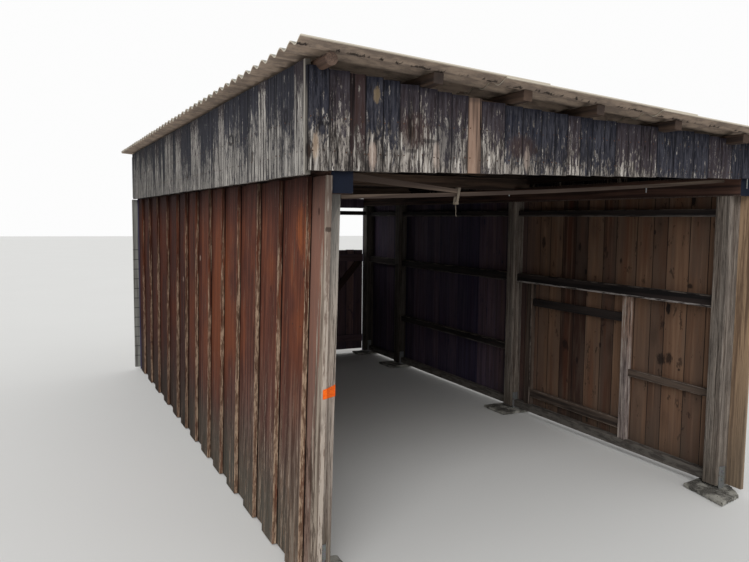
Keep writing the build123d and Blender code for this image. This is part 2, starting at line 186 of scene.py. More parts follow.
class Finish:
    """A material under way: the colour that its coats have made so far, and what they are laid by."""

    def __init__(self, name):
        self.material = bpy.data.materials.new(name)
        self.material.use_nodes = True
        self.tree = self.material.node_tree
        self.tree.nodes.clear()
        self.colour = None

    @property
    def place(self):
        """The place on the piece, in metres, from the shelter's own origin."""
        return add(self.tree, "ShaderNodeTexCoord", {}, {}, output=3)

    @property
    def facing(self):
        """The way the surface looks, before its relief."""
        return add(self.tree, "ShaderNodeNewGeometry", {}, {}, output=1).axes()

    def own(self, name, output=2):
        return add(self.tree, "ShaderNodeAttribute", {"attribute_name": name}, {}, output=output)

    @property
    def tone(self):
        return self.own("tone")

    @property
    def half(self):
        return self.own("half", 1).axes()

    @property
    def local(self):
        return self.own("local", 1).axes()

    @property
    def board(self):
        """The place on one board, shifted by its number so that no two boards look alike."""
        seed = self.own("seed")
        return self.own("local", 1).moved(vector(seed, seed * 0.37, seed * 1.93))

    def lay(self, share, over):
        self.colour = blend(share, self.colour, over)

    def dim(self, red, green, blue):
        self.colour = blend(1.0, self.colour, vector(red, green, blue), "MULTIPLY")

    def close(self, roughness, height, depth, metallic=0.0, gloss=0.25, uneven=0.0):
        """The surface shader; depth is the relief's height in metres, uneven how much boards differ."""
        if uneven:
            self.dim(*[1.0 - uneven + 2.0 * uneven * self.tone] * 3)
        bump = add(self.tree, "ShaderNodeBump", {}, {"Strength": 1.0, "Distance": depth, "Height": height})
        sockets = {"Base Color": self.colour, "Roughness": roughness, "Metallic": metallic, "Normal": bump,
                   "Specular IOR Level": gloss}
        shader = add(self.tree, "ShaderNodeBsdfPrincipled", {}, sockets)
        add(self.tree, "ShaderNodeOutputMaterial", {}, {"Surface": shader})


world = bpy.data.worlds.new("daylight")
bpy.context.scene.world = world
world.use_nodes = True
sky = world.node_tree
sky.nodes.clear()
ray = sky.nodes.new("ShaderNodeLightPath")
seen = Signal(sky, ray.outputs["Is Camera Ray"]) + Signal(sky, ray.outputs["Is Glossy Ray"])
seen = (seen + Signal(sky, ray.outputs["Is Transmission Ray"])).clamped()
white = (1.0, 1.0, 1.0, 1.0)
background = add(sky, "ShaderNodeBackground", {}, {"Color": white, "Strength": 0.72 + 0.26 * seen})
add(sky, "ShaderNodeOutputWorld", {}, {"Surface": background})

sun_data = bpy.data.lights.new("daylight", "SUN")
sun_data.energy = 1.3
sun_data.angle = math.radians(40)
sun = in_scene("daylight", sun_data)
sun.rotation_euler = Vector((0.45, 0.75, -0.62)).to_track_quat("-Z", "Y").to_euler()

floor_mesh = bpy.data.meshes.new("floor")
wide = 60.0
floor_mesh.from_pydata([(-wide, -wide, 0), (wide, -wide, 0), (wide, wide, 0), (-wide, wide, 0)], [],
                       [(0, 1, 2, 3)])
floor = in_scene("floor", floor_mesh)
pale_floor = Finish("pale floor")
clouds = noise(pale_floor.place, 0.6, 3.0)
pale_floor.colour = blend(clouds * 0.3, (226, 226, 224), (214, 214, 212))
pale_floor.close(0.9, clouds, 0.0001)
floor_mesh.materials.append(pale_floor.material)


# Feet. Each post stands in a galvanised cradle that is set in a concrete pad; the pad at the right
# front corner is a broken piece of slab. The cradles are bolted through the posts.

def new_group(name, **wanted):
    """An empty node group that makes geometry on points, and its named inputs as signals."""
    tree = bpy.data.node_groups.new(name, "GeometryNodeTree")
    wanted = {"Points": "Geometry", **wanted, "Material": "Material"}
    for label, kind in wanted.items():
        tree.interface.new_socket(name=label, in_out="INPUT", socket_type="NodeSocket" + kind)
    tree.interface.new_socket(name="Made", in_out="OUTPUT", socket_type="NodeSocketGeometry")
    given = tree.nodes.new("NodeGroupInput")
    return tree, {label: Signal(tree, given.outputs[label]) for label in wanted}


def end_group(tree, shape, value):
    """Puts the group's material on the shape and gives it back."""
    shape = add(tree, "GeometryNodeSetMaterial", {}, {"Geometry": shape, "Material": value["Material"]})
    add(tree, "NodeGroupOutput", {}, {"Made": shape})
    return tree


def own(tree, name, kind="FLOAT_VECTOR"):
    return add(tree, "GeometryNodeInputNamedAttribute", {"data_type": kind}, {"Name": name})


def store(tree, shape, name, value):
    settings = {"data_type": "FLOAT_VECTOR", "domain": "POINT"}
    return add(tree, "GeometryNodeStoreNamedAttribute", settings,
               {"Geometry": shape, "Name": name, "Value": value})


def on_points(tree, value, shape, **turned):
    """A copy of the shape on each of the group's points."""
    sockets = {"Points": value["Points"], "Instance": shape, **turned}
    laid = add(tree, "GeometryNodeInstanceOnPoints", {}, sockets)
    return add(tree, "GeometryNodeRealizeInstances", {}, {"Geometry": laid})


def placed(tree, shape, **how):
    """The shape with its points moved to a position, or by an offset."""
    return add(tree, "GeometryNodeSetPosition", {}, {"Geometry": shape, **how})


def cubes(tree, value, size, counts):
    """A finely divided cube on each point: the shape, the share of the cube that each of its points has,
    and the middle that it stands round."""
    sockets = {"Vertices " + axis: count for axis, count in zip("XYZ", counts)}
    cube = add(tree, "GeometryNodeMeshCube", {}, {"Size": (size, size, size), **sockets})
    position = add(tree, "GeometryNodeInputPosition", {}, {})
    laid = on_points(tree, value, store(tree, cube, "share", position))
    share = own(tree, "share")
    return laid, share.axes(), position, position.vector_math("SUBTRACT", share)


def made(piece):
    """The piece as its modifiers leave it, as a plain mesh with no modifiers."""
    evaluated = piece.evaluated_get(bpy.context.evaluated_depsgraph_get())
    mesh = bpy.data.meshes.new_from_object(evaluated)
    name = piece.name
    bpy.data.objects.remove(piece)
    return in_scene(name, mesh)


def grown(name, mesh, group, inputs):
    """What a node group makes of a carrier mesh."""
    carrier = in_scene(name, mesh)
    modifier = carrier.modifiers.new("grown", "NODES")
    modifier.node_group = group
    for item in group.interface.items_tree:
        if item.name in inputs:
            modifier[item.identifier] = inputs[item.name]
    return made(carrier)


def carrier_mesh(name, places, vectors, numbers):
    """Loose points that carry named vectors and numbers."""
    mesh = bpy.data.meshes.new(name)
    mesh.from_pydata(places, [], [])
    for key, values in vectors.items():
        flat = [number for value in values for number in value]
        mesh.attributes.new(key, "FLOAT_VECTOR", "POINT").data.foreach_set("vector", flat)
    for key, values in numbers.items():
        mesh.attributes.new(key, "FLOAT", "POINT").data.foreach_set("value", values)
    return mesh


def merged_copy(name, node_name):
    """A copy of a solid with its loose triangles joined, to be worked on."""
    mesh = nodes[node_name].data.copy()
    mesh.name = name
    copy = in_scene(name, mesh)
    weld = copy.modifiers.new("weld", "WELD")
    weld.merge_threshold = 0.00005
    return copy


def remeshed(piece, voxel_size):
    """Gives a copy even faces that a displacement or a smoothing can work on."""
    dice = piece.modifiers.new("dice", "REMESH")
    dice.mode = "VOXEL"
    dice.voxel_size = voxel_size


def dressed(piece, finish):
    """Puts one finish on the whole of a mesh."""
    piece.data.materials.clear()
    piece.data.materials.append(finish.material)
    for polygon in piece.data.polygons:
        polygon.material_index = 0


def hand_over(piece, slot, *replaced, body="shelter"):
    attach(piece, body)
    if replaced:
        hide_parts(*replaced)


concrete = Finish("cast concrete")
sand = noise(concrete.place, 260.0, 4.0, 0.7)
cloud = noise(concrete.place, 9.0, 4.0, 0.6)
pits = ease(noise(concrete.place, 75.0, 2.0), 0.36, 0.27)
concrete.colour = blend(ease(cloud, 0.42, 0.58), (66, 64, 60), (160, 158, 150))
concrete.lay(ease(sand, 0.45, 0.70) * 0.6, (176, 172, 163))
concrete.lay(ease(sand, 0.46, 0.34) * 0.6, (62, 58, 53))
concrete.lay(pits * 0.85, (42, 40, 37))
concrete.close(0.92, sand * 0.5 + cloud - pits, 0.004)

pads = merged_copy("concrete_pads", "post_pads")
remeshed(pads, 0.008)
chips = bpy.data.textures.new("broken edges", "CLOUDS")
chips.noise_scale = 0.045
chips.noise_depth = 3
broken = pads.modifiers.new("broken", "DISPLACE")
broken.texture = chips
broken.mid_level = 1.0
broken.strength = 0.009
pads = made(pads)
dressed(pads, concrete)
hand_over(pads, "concrete", "post_pads")

zinc = Finish("weathered zinc")
spangle = add(zinc.tree, "ShaderNodeTexVoronoi", {}, {"Vector": zinc.place, "Scale": 180.0}, output=1)
grime = noise(zinc.place, 30.0, 4.0, 0.65)
zinc.colour = blend(0.25, (124, 126, 126), spangle)
zinc.lay(0.8, (132, 134, 134))
zinc.lay(ease(grime, 0.58, 0.7), (92, 62, 42))
zinc.close(0.42 + 0.4 * grime, grime, 0.0006, metallic=0.75, gloss=0.5)
for name in ("post_anchors", "gate_straps", "gate_pins"):
    dressed(nodes[name], zinc)


def stud_tree():
    """Heads of bolts, nails and screws: a short frustum on each point, turned as the point says."""
    tree, value = new_group("studs", Sides="Int", Foot="Float", Top="Float", Height="Float")
    frustum = {"Vertices": value["Sides"], "Radius Top": value["Top"], "Radius Bottom": value["Foot"],
               "Depth": value["Height"]}
    stud = add(tree, "GeometryNodeMeshCone", {}, frustum)
    return end_group(tree, on_points(tree, value, stud, Rotation=own(tree, "turn")), value)


studs = stud_tree()
nail = {"Sides": 7, "Foot": 0.0035, "Top": 0.0032, "Height": 0.0016}


def heads(name, spots, shape, finish, body="shelter"):
    """Heads of one shape on the spots; a spot is a place and the way its head looks."""
    turns = [Vector(way).to_track_quat("Z", "Y").to_euler() for _, way in spots]
    mesh = carrier_mesh(name, [spot for spot, _ in spots], {"turn": turns}, {})
    piece = grown(name, mesh, studs, {**shape, "Material": finish.material})
    hand_over(piece, "galvanised_steel", body=body)


front, back, outward, inward = (0.0, -1.0, 0.0), (0.0, 1.0, 0.0), (1.0, 0.0, 0.0), (-1.0, 0.0, 0.0)
post = 0.1
left_post_y = [front_y + y for y in (0.100, 2.176, 4.321, 5.185)]
right_post_y = [front_y + y for y in (0.053, 2.176, 4.321, 5.185)]
left_post_x = left_x + 0.0503
right_post_x = left_x + 2.7315
lean = 0.025
wall_back_y = 2.625
wall_length = 5.322
wall_middle_z = 0.9775


def racking(y, z):
    """How far the left wall stands inward at a place, as a share of its lean; 1 at its front top corner."""
    return (wall_back_y - y) / wall_length * (z / wall_middle_z - 1.0)


feet = [(left_post_x + lean * racking(y + post, 0.0), y) for y in left_post_y]
bolts_z = (0.080, 0.135)
cheek = 0.005
spots = []
for x, y in feet + [(right_post_x, y) for y in right_post_y]:
    for z in bolts_z:
        spots.append(((x + post / 2, y - cheek, z), front))
        spots.append(((x + post / 2, y + post + cheek, z), back))
heads("anchor_bolts", spots, {"Sides": 6, "Foot": 0.0085, "Top": 0.0085, "Height": 0.0065}, zinc)


# Posts. Squared spruce, grey where the weather reaches them, with long drying cracks; the front ones
# are the ones that show. The left posts lean with the racked wall that is nailed to them.

def timber_tree():
    """Sawn timbers on points. A point holds a timber's half sizes, its turn, its bow and its number."""
    tree, value = new_group("sawn timber", Rows="Int", Bevel="Float", Warp="Float", Ragged="Float",
                            Lean="Float", Taper="Float")
    laid, (sx, sy, sz), position, centre = cubes(tree, value, 2.0, (4, 4, value["Rows"]))
    hx, hy, hz = own(tree, "half").axes()
    seed, bow = own(tree, "seed", "FLOAT"), own(tree, "bow", "FLOAT")
    inside_x = abs(sx) < 0.5
    inside_y = abs(sy) < 0.5
    corner = (1.0 - inside_x) * (1.0 - inside_y) * 0.5
    along = sz * hz
    drift = vector(seed * 7.31, along * 1.7, sx.sign() * 3.0)
    edge_drift = (noise(drift, 1.0, 2.0) - 0.5) * value["Warp"] * 2.0
    body_drift = (noise(vector(seed * 3.17, along * 0.9, 9.0), 1.0, 1.0) - 0.5) * value["Warp"]
    local_x = sx.sign() * (hx - value["Bevel"] * (inside_x + corner) + edge_drift)
    local_x = local_x * (1.0 + value["Taper"] * sz) + bow * (1.0 - sz * sz)
    local_y = sy.sign() * (hy - value["Bevel"] * (inside_y + corner)) + body_drift
    at_end = abs(sz) > 0.99
    torn = noise(vector(seed * 5.7 + sx * 1.3, sz * 2.0, sy * 0.4), 1.0, 3.0)
    local_z = along - sz.sign() * at_end * torn * value["Ragged"]
    laid = store(tree, laid, "local", vector(local_x, local_y, local_z))
    turned = add(tree, "ShaderNodeVectorRotate", {"rotation_type": "EULER_XYZ"},
                 {"Vector": own(tree, "local"), "Rotation": own(tree, "turn")})
    laid = placed(tree, laid, Position=turned.moved(centre))
    _, far, high = position.axes()
    racked = vector(value["Lean"] * racking(far, high), 0.0, 0.0)
    return end_group(tree, placed(tree, laid, Offset=racked), value)


sawn = timber_tree()
dice_of = random.Random(7)
square_axes = {"x": Vector((1, 0, 0)), "y": Vector((0, 1, 0)), "z": Vector((0, 0, 1))}


def member(middle, grain, wide, half, bow=0.0, tone=None):
    """A timber by its middle, the way of its grain, the way of its width and its half sizes."""
    turn = Matrix((wide, grain.cross(wide), grain)).transposed().to_euler()
    return {"middle": middle, "half": half, "turn": turn, "bow": bow,
            "tone": dice_of.random() if tone is None else tone, "seed": dice_of.uniform(0.0, 40.0)}


def timber(x, y, z, grain, wide, tone=None):
    """A timber that fills three (low, high) spans, in metres, with the axes of its grain and its width."""
    spans = {"x": x, "y": y, "z": z}
    thin = (set("xyz") - {grain, wide}).pop()
    middle = Vector([sum(spans[axis]) / 2 for axis in "xyz"])
    half = [(spans[axis][1] - spans[axis][0]) / 2 for axis in (wide, thin, grain)]
    return member(middle, square_axes[grain], square_axes[wide], half, tone=tone)


def spans_of(node_name):
    """The (low, high) spans of the box round one solid."""
    return list(zip(*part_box(node_name)))


def box_timber(node_name, grain, wide):
    """A timber that fills the box of one solid."""
    return timber(*spans_of(node_name), grain, wide)


def sawn_piece(name, members, finish, slot, *replaced, rows=8, bevel=0.002, warp=0.0015, body="shelter",
               **more):
    """One mesh of all the timbers in the list, in the place of a solid."""
    vectors = {key: [one[key] for one in members] for key in ("half", "turn")}
    numbers = {key: [one[key] for one in members] for key in ("bow", "tone", "seed")}
    mesh = carrier_mesh(name, [one["middle"] for one in members], vectors, numbers)
    shape = {"Rows": rows, "Bevel": bevel, "Warp": warp, "Ragged": 0.0, "Lean": 0.0, "Taper": 0.0}
    shape.update({key.title(): number for key, number in more.items()})
    piece = grown(name, mesh, sawn, {**shape, "Material": finish.material})
    hand_over(piece, slot, *replaced, body=body)


class Grain:
    """Fibres, growth rings, knots and drying cracks; the third axis of place runs along the fibres."""

    def __init__(self, place, knotty, cracked):
        self.fibres = drawn_out(place, 150.0, 4.0, 4.0, 0.7)
        self.streaks = drawn_out(place, 34.0, 1.1, 3.0, 0.6)
        self.drift = drawn_out(place, 7.0, 0.9, 3.0, 0.55)
        self.slits = ease(drawn_out(place, 230.0, 8.0, 3.0, 0.6), 0.58, 0.67)
        across, _, along = place.axes()
        rim = (drawn_out(place, 60.0, 30.0, 2.0) - 0.5) * 0.16
        spots = vector(across * 7.0, 0.0, along * 3.2)
        cells = {"Vector": spots, "Scale": 1.0, "Randomness": 0.9}
        reach = add(place.tree, "ShaderNodeTexVoronoi", {}, cells) + rim
        chosen = add(place.tree, "ShaderNodeTexVoronoi", {}, cells, output=1).axes()
        kept = chosen[0] < knotty
        self.knots = ease(reach - (0.05 + 0.09 * chosen[1]), 0.04, 0.0) * kept
        self.halo = ease(reach, 0.42, 0.08) * kept
        self.rings = (self.drift * 46.0 + self.halo * 9.0).sine() * 0.5 + 0.5
        ridge = abs(drawn_out(place, 19.0, 0.45, 2.0) - 0.5)
        stretch = ease(drawn_out(place, 6.0, 1.3, 1.0), 0.62 - cracked * 0.3, 0.74)
        self.cracks = ease(ridge, 0.016, 0.004) * stretch
        hollows = self.cracks * 1.6 + self.knots * 0.3 + self.slits * 0.4
        self.height = self.fibres * 0.35 + self.rings * 0.2 - hollows


class Wood(Finish):
    """A finish on timber, which begins as the pale and the dark colour of its grain."""

    def __init__(self, name, pale, dark, knotty, cracked, turned=None):
        super().__init__(name)
        if turned:
            place = add(self.tree, "ShaderNodeMapping", {}, {"Vector": self.place, "Rotation": turned})
        else:
            place = self.board
        self.grain = Grain(place, knotty, cracked)
        streaks = self.grain.rings * 0.15 + ease(self.grain.streaks, 0.38, 0.62) * 0.85
        self.colour = blend(streaks, pale, dark)
        self.lay(ease(self.grain.fibres, 0.45, 0.8) * 0.5, dark)
        self.lay(self.grain.halo * 0.25 + self.grain.knots * 0.7, (40, 26, 19))
        self.lay(self.grain.cracks * 0.9, (14, 12, 11))

    def arris(self, width):
        """1 along the long edges of a timber, where hands and weather have worn it."""
        gaps = [self.half[axis] - abs(self.local[axis]) for axis in (0, 1)]
        return ease(gaps[0].greater(gaps[1]), width, width * 0.3)

    def done(self, depth=0.0015, uneven=0.0):
        """The surface shader of timber."""
        self.close(0.85, self.grain.height, depth, uneven=uneven)


post_wood = Wood("weathered post with painted light", (164, 152, 141), (94, 81, 72), 0.22, 1.0)
across, deep, height = post_wood.place.axes()
post_wood.lay(ease(drawn_out(post_wood.board, 16.0, 1.0, 4.0, 0.6), 0.40, 0.60) * 0.5, (130, 123, 116))
post_wood.lay(post_wood.grain.slits * 0.85, (50, 43, 38))
furrows = drawn_out(post_wood.board, 170.0, 5.0, 4.0, 0.8)
post_wood.lay(ease(furrows, 0.48, 0.40) * 0.55, (60, 52, 46))
post_wood.lay(ease(furrows, 0.54, 0.62) * 0.4, (190, 180, 168))
in_front = deep < -2.4
on_front_left = in_front * (across < -1.3)
# Painted shadow: above a slanting line near its top, the left front post is darkened where the plate and the
# fascia shade it.
painted_beam_shadow = ease(height - 1.656 - 2.3 * (across + 1.371), 0.0, 0.012) * on_front_left
post_wood.lay(painted_beam_shadow * 0.8, (66, 52, 45))
# Painted light: between 1.1 m and 1.6 m the left front post gets a paler blue-grey, where sky light falls on
# it.
post_wood.lay(ease(height, 1.1, 1.6) * on_front_left * 0.45, (116, 120, 118))
foot = ease(height + 0.1 * post_wood.grain.streaks, 0.42, 0.12)
post_wood.lay(foot * 0.4, (88, 82, 70))
# Painted light and shade: the left front post is brightened, and the right front post and the posts further
# back are darkened, more so towards the back.
painted_light_level = 1.40 - 0.66 * (across > 0.0) * in_front - 0.55 * (deep > -2.4)
painted_light_level = painted_light_level - 0.50 * ease(deep, -0.2, 1.4)
post_wood.dim(painted_light_level, painted_light_level, painted_light_level)
post_wood.done(0.0026)

posts_foot = 0.045
for side_name, x, top, starts, share in (("left", left_post_x, 1.812, left_post_y, lean),
                                         ("right", right_post_x, 1.861, right_post_y, 0.0)):
    posts = [timber((x, x + post), (y, y + post), (posts_foot, top), "z", "y") for y in starts]
    for name, members in ((side_name + "_front_post", posts[:1]), (side_name + "_posts", posts[1:])):
        sawn_piece("weathered_" + name, members, post_wood, "post_wood", name, rows=24, bevel=0.004,
                   warp=0.001, lean=share)


# Plates and roof frames. Planks on edge lie along the tops of the posts, and over each pair of posts
# stands a flat frame of tie, strut and rafter, nailed together; old dry spruce, dark with dust.

plate_wood = Wood("dark plate timber", (92, 66, 56), (48, 34, 30), 0.3, 0.5)
plate_wood.dim(*[0.9 + 0.2 * plate_wood.tone] * 3)
plate_wood.lay(ease(plate_wood.facing[1], -0.6, -0.85),
               blend(plate_wood.grain.streaks, (11, 20, 38), (8, 14, 28)))
worn = ease(noise(plate_wood.place, 70.0, 3.0), 0.35, 0.6)
plate_wood.lay(plate_wood.arris(0.006) * worn * 0.6, (122, 112, 104))
plate_wood.done()
for name in ("left_plate", "right_plate"):
    sawn_piece("sawn_" + name, [box_timber(name, "y", "z")], plate_wood, "plate_timber", name, rows=40,
               bevel=0.004)

frame_wood = Wood("dark frame timber", (98, 80, 67), (50, 40, 36), 0.4, 0.5)
frame_wood.lay(frame_wood.arris(0.004) * 0.35, (128, 116, 104))
frame_wood.done(uneven=0.15)
frame_y = [front_y + y for y in (-0.015, 2.196, 4.341, 5.250)]
frame_w = 0.06
across, _, heights = spans_of("tie_beams")
ties = [timber(across, (y, y + frame_w), heights, "x", "z") for y in frame_y]
sawn_piece("sawn_ties", ties, frame_wood, "roof_timber", "tie_beams", rows=24, bevel=0.003)

fall = 0.0715
for name, turned, pale in (("rafters", (0.0, -math.pi / 2 + math.atan(fall), 0.0), (88, 71, 58)),
                           ("left_struts", (0.0, 0.0, 0.0), (88, 71, 58)),
                           ("fascia_battens", (math.pi / 2, 0.0, 0.0), (78, 66, 58))):
    finish = Wood("dark " + name.replace("_", " "), pale, (46, 37, 32), 0.4, 0.4, turned)
    finish.done()
    dressed(nodes[name], finish)


# Purlins. Six squared poles and one round log along the high eave lie across the rafters; their ends
# stand out past the front boards, reddish, with their end faces darkened by painted shade.

purlin_wood = Wood("purlin timber", (86, 69, 58), (45, 36, 33), 0.4, 0.5)
# The front end faces: reddish brown, darkened by painted shade.
purlin_wood.lay(ease(purlin_wood.facing[1], -0.6, -0.85) * 0.7,
                blend(purlin_wood.tone, (48, 43, 42), (84, 66, 54)))
purlin_wood.done(uneven=0.2)

purlin_x = [left_x + x for x in (0.018, 0.530, 1.024, 1.480, 2.030, 2.575, 2.830)]
purlin_tones = (0.15, 0.75, 0.3, 0.5, 0.6, 0.4)
purlin_half = 0.025
purlin_half_length = 2.81
last_raised = 0.0063
log_low, log_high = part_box("log_purlin")
sloped = Vector((math.cos(math.atan(fall)), 0.0, -math.sin(math.atan(fall))))


def eave_line(x):
    """Height of the purlins' tops at a place across the shelter."""
    return log_high.z - fall * (x - purlin_x[0])


members = []
for x, tone in zip(purlin_x[1:], purlin_tones):
    raised = last_raised / 2 if x == purlin_x[-1] else 0.0
    middle = Vector((x, 0.0, eave_line(x) - purlin_half + raised))
    half = [purlin_half, purlin_half - 0.0001 + raised, purlin_half_length]
    members.append(member(middle, square_axes["y"], sloped, half, tone=tone))
sawn_piece("sawn_purlins", members, purlin_wood, "roof_timber", "purlins", rows=40, bevel=0.003)


def log_tree():
    """A peeled log along its line, with an uneven girth."""
    tree, value = new_group("peeled log", Start="Vector", End="Vector", Radius="Float")
    line = add(tree, "GeometryNodeCurvePrimitiveLine", {}, {"Start": value["Start"], "End": value["End"]})
    line = add(tree, "GeometryNodeResampleCurve", {}, {"Curve": line, "Count": 60})
    ring = add(tree, "GeometryNodeCurvePrimitiveCircle", {}, {"Resolution": 20, "Radius": value["Radius"]})
    log = add(tree, "GeometryNodeCurveToMesh", {}, {"Curve": line, "Profile Curve": ring, "Fill Caps": True})
    position = add(tree, "GeometryNodeInputPosition", {}, {})
    normal = add(tree, "GeometryNodeInputNormal", {}, {})
    swell = noise(position.stretched((9.0, 2.2, 9.0)), 1.0, 3.0) * -0.005
    push = add(tree, "ShaderNodeVectorMath", {"operation": "SCALE"}, {0: normal, 3: swell})
    return end_group(tree, placed(tree, log, Offset=push), value)


log_wood = Wood("peeled log", (116, 92, 78), (66, 50, 43), 0.5, 0.8, (math.pi / 2, 0.0, 0.0))
across, _, height = log_wood.place.axes()
radius = (log_high.z - log_low.z) / 2
middle_x, middle_z = log_low.x + radius, log_high.z - radius
out = (across - middle_x) * (across - middle_x) + (height - middle_z) * (height - middle_z)
year_rings = (out.root() * 900.0 + log_wood.grain.drift * 9.0).sine() * 0.5 + 0.5
rough_end = ease(noise(log_wood.place, 60.0, 4.0, 0.7), 0.42, 0.60)
log_wood.lay(ease(log_wood.facing[1], -0.6, -0.85),
             blend(year_rings * 0.25 + rough_end * 0.5, (112, 92, 80), (58, 46, 42)))
log_wood.done(0.002)
log = grown("peeled_log", bpy.data.meshes.new("peeled_log"), log_tree(),
            {"Start": (middle_x, log_low.y, middle_z), "End": (middle_x, log_high.y, middle_z),
             "Radius": radius, "Material": log_wood.material})
for polygon in log.data.polygons:
    polygon.use_smooth = abs(polygon.normal.y) < 0.5
hand_over(log, "roof_timber", "log_purlin")


# Left wall. Upright boards in two layers, the outer ones over the gaps of the inner ones, nailed to
# three rails between the posts. Old red-brown stain, worn to grey along the edges and at the foot.

def oval(paint, across, up, centre, reach, ragged=2.4):
    """1 inside an oval patch with an uneven rim and 0 outside it."""
    side_step = (across - centre[0]) / reach[0]
    up_step = (up - centre[1]) / reach[1]
    rim = (noise(paint.place.stretched((1.0, 1.0, 0.4)), 90.0, 4.0, 0.7) - 0.5) * ragged
    return ease(side_step * side_step + up_step * up_step + rim, 1.4, 0.3)


def red_stain(name, overlap):
    """The wall's stain, with painted shade in the gaps between boards, under the fascia and towards the
    back; overlap is how much of a board's far edge the next one covers.
    """
    stain = Finish(name)
    place, tone = stain.board, stain.tone
    grain = Grain(place, 0.16, 0.25)
    across, deep, _ = stain.local
    wide, thick, _ = stain.half
    _, far, height = stain.place.axes()
    cloud = noise(stain.place.stretched((1.0, 1.8, 1.3)), 1.0, 3.0)
    bands = drawn_out(place, 40.0, 1.5, 5.0, 0.75)
    strands = drawn_out(place, 52.0, 2.4, 5.0, 0.75)
    flecks = drawn_out(place, 90.0, 14.0, 3.0, 0.7)
    banded = ease(bands, 0.42, 0.58)
    flecked = ease(flecks, 0.42, 0.58)
    low_half = ease(height + 0.9 * (cloud - 0.5), 1.15, 0.15)
    stain.colour = blend(tone, (86, 51, 43), (112, 66, 50))
    stain.lay(ease(bands, 0.44, 0.58) * 0.65, (58, 38, 33))
    stain.lay(ease(bands, 0.46, 0.34) * 0.5, (132, 86, 64))
    stain.lay(ease(cloud, 0.46, 0.60) * ease(abs(height - 1.15), 0.8, 0.2) * 0.5, (134, 74, 44))
    weathered = blend(banded, (98, 86, 82), (46, 40, 40))
    stain.lay(low_half * (0.55 - 0.25 * ease(far, -1.8, 0.8)), weathered)
    green = ease(height + 0.4 * (cloud - 0.5), 0.62, 0.08)
    stain.lay(green * 0.7, blend(bands, (96, 98, 88), (58, 60, 54)))
    splashed = ease(far, -2.15, -2.45) * ease(height + 0.5 * (cloud - 0.5), 1.1, 0.3)
    stain.lay(splashed * 0.6, blend(ease(bands, 0.42, 0.56), (150, 136, 122), (84, 68, 58)))
    silver = blend(flecked, (170, 152, 136), (108, 88, 74))
    silver = blend(grain.slits * 0.8, silver, (60, 48, 42))
    side = ease(stain.facing[1], -0.5, -0.8)
    near_edge = ease(across + wide, 0.020, 0.004)
    near_front = ease(far, -0.8, -2.2)
    loss = 0.7 * strands + 0.3 * flecks + (0.04 + 0.05 * near_front) * low_half
    bare = ease(loss + 0.02 * tone + 0.05 * near_edge, 0.585, 0.635)
    stain.lay(bare * 0.75, silver)
    edge_noise = drawn_out(place, 70.0, 2.6, 5.0, 0.75)
    edge_loss = edge_noise + 0.10 * ease(height, 1.75, 0.9) + 0.35 * (flecks - 0.5)
    edge_bare = ease(edge_loss, 0.51, 0.58)
    stain.lay(side * 0.85, blend(banded, (114, 70, 52), (72, 44, 35)))
    stain.lay(side * edge_bare * 0.9, blend(flecked, (186, 162, 138), (112, 88, 72)))
    if overlap:
        corner = ease(far, -2.480, -2.495)
        reach = 0.020 + 0.080 * ease(height, 1.85, 0.3) + 0.30 * (strands - 0.5)
        stain.lay(corner * 0.5, (138, 112, 102))
        worn = corner * ease(across + wide - reach, 0.012, -0.006)
        stain.lay(worn * 0.9, blend(banded, (168, 156, 142), (104, 92, 82)))
        stain.lay(corner * side * 0.85, blend(edge_bare, (124, 108, 98), (184, 172, 160)))
        rot = ease(drawn_out(place, 22.0, 3.5, 5.0, 0.75), 0.50, 0.58)
        stain.lay(corner * rot * ease(height, 1.0, 0.6) * 0.75, (60, 46, 38))
        # Painted shade, with some grime: a dark strip on an inner board beside the edge of the outer board
        # over it.
        gap = ease(wide - across, overlap + 0.010, overlap + 0.004)
    else:
        # Painted shade, with some grime: a dark strip along the inner 5 mm of an outer board, where it meets
        # the inner boards.
        gap = ease(deep + thick, 0.005, 0.001)
    for share, shade, marks in ((1.0, (178, 158, 144), (((0.739, 1.541), (0.008, 0.014)),
                                                        ((2.381, 1.401), (0.016, 0.022)),
                                                        ((2.870, 1.207), (0.020, 0.022)))),
                                (0.7, (38, 26, 22), (((0.384, 1.507), (0.014, 0.026)),
                                                     ((0.155, 1.451), (0.012, 0.024)),
                                                     ((-0.037, 1.652), (0.012, 0.011))))):
        for centre, reach in marks:
            stain.lay(oval(stain, far - front_y, height, centre, reach) * share, shade)
    fresh = oval(stain, far - front_y, height, (0.205, 1.655), (0.062, 0.125), 3.5)
    stain.lay(fresh * ease(bands, 0.58, 0.44) * 0.6, (156, 88, 50))
    stain.lay(grain.knots * 0.7, (46, 29, 24))
    stain.lay(grain.cracks * 0.85, (18, 13, 13))
    # Painted shade in the gaps between the outer and the inner boards.
    stain.lay(gap * 0.95, (9, 7, 8))
    # Painted shadow: the tops of the boards darken under the fascia, where it shades them.
    stain.lay(ease(height, 1.58, 1.88) * 0.6, (30, 23, 24))
    # Painted shade: the wall darkens towards the back, where trees shade it; the side faces of the boards
    # darken half as much.
    painted_shade_far = ease(far, -2.0, 1.0) * (1.0 - 0.5 * side)
    stain.dim(1.0 - 0.66 * painted_shade_far, 1.0 - 0.71 * painted_shade_far, 1.0 - 0.70 * painted_shade_far)
    stain.close(0.8, grain.height + bare * 0.2, 0.0018, gloss=0.04)
    return stain


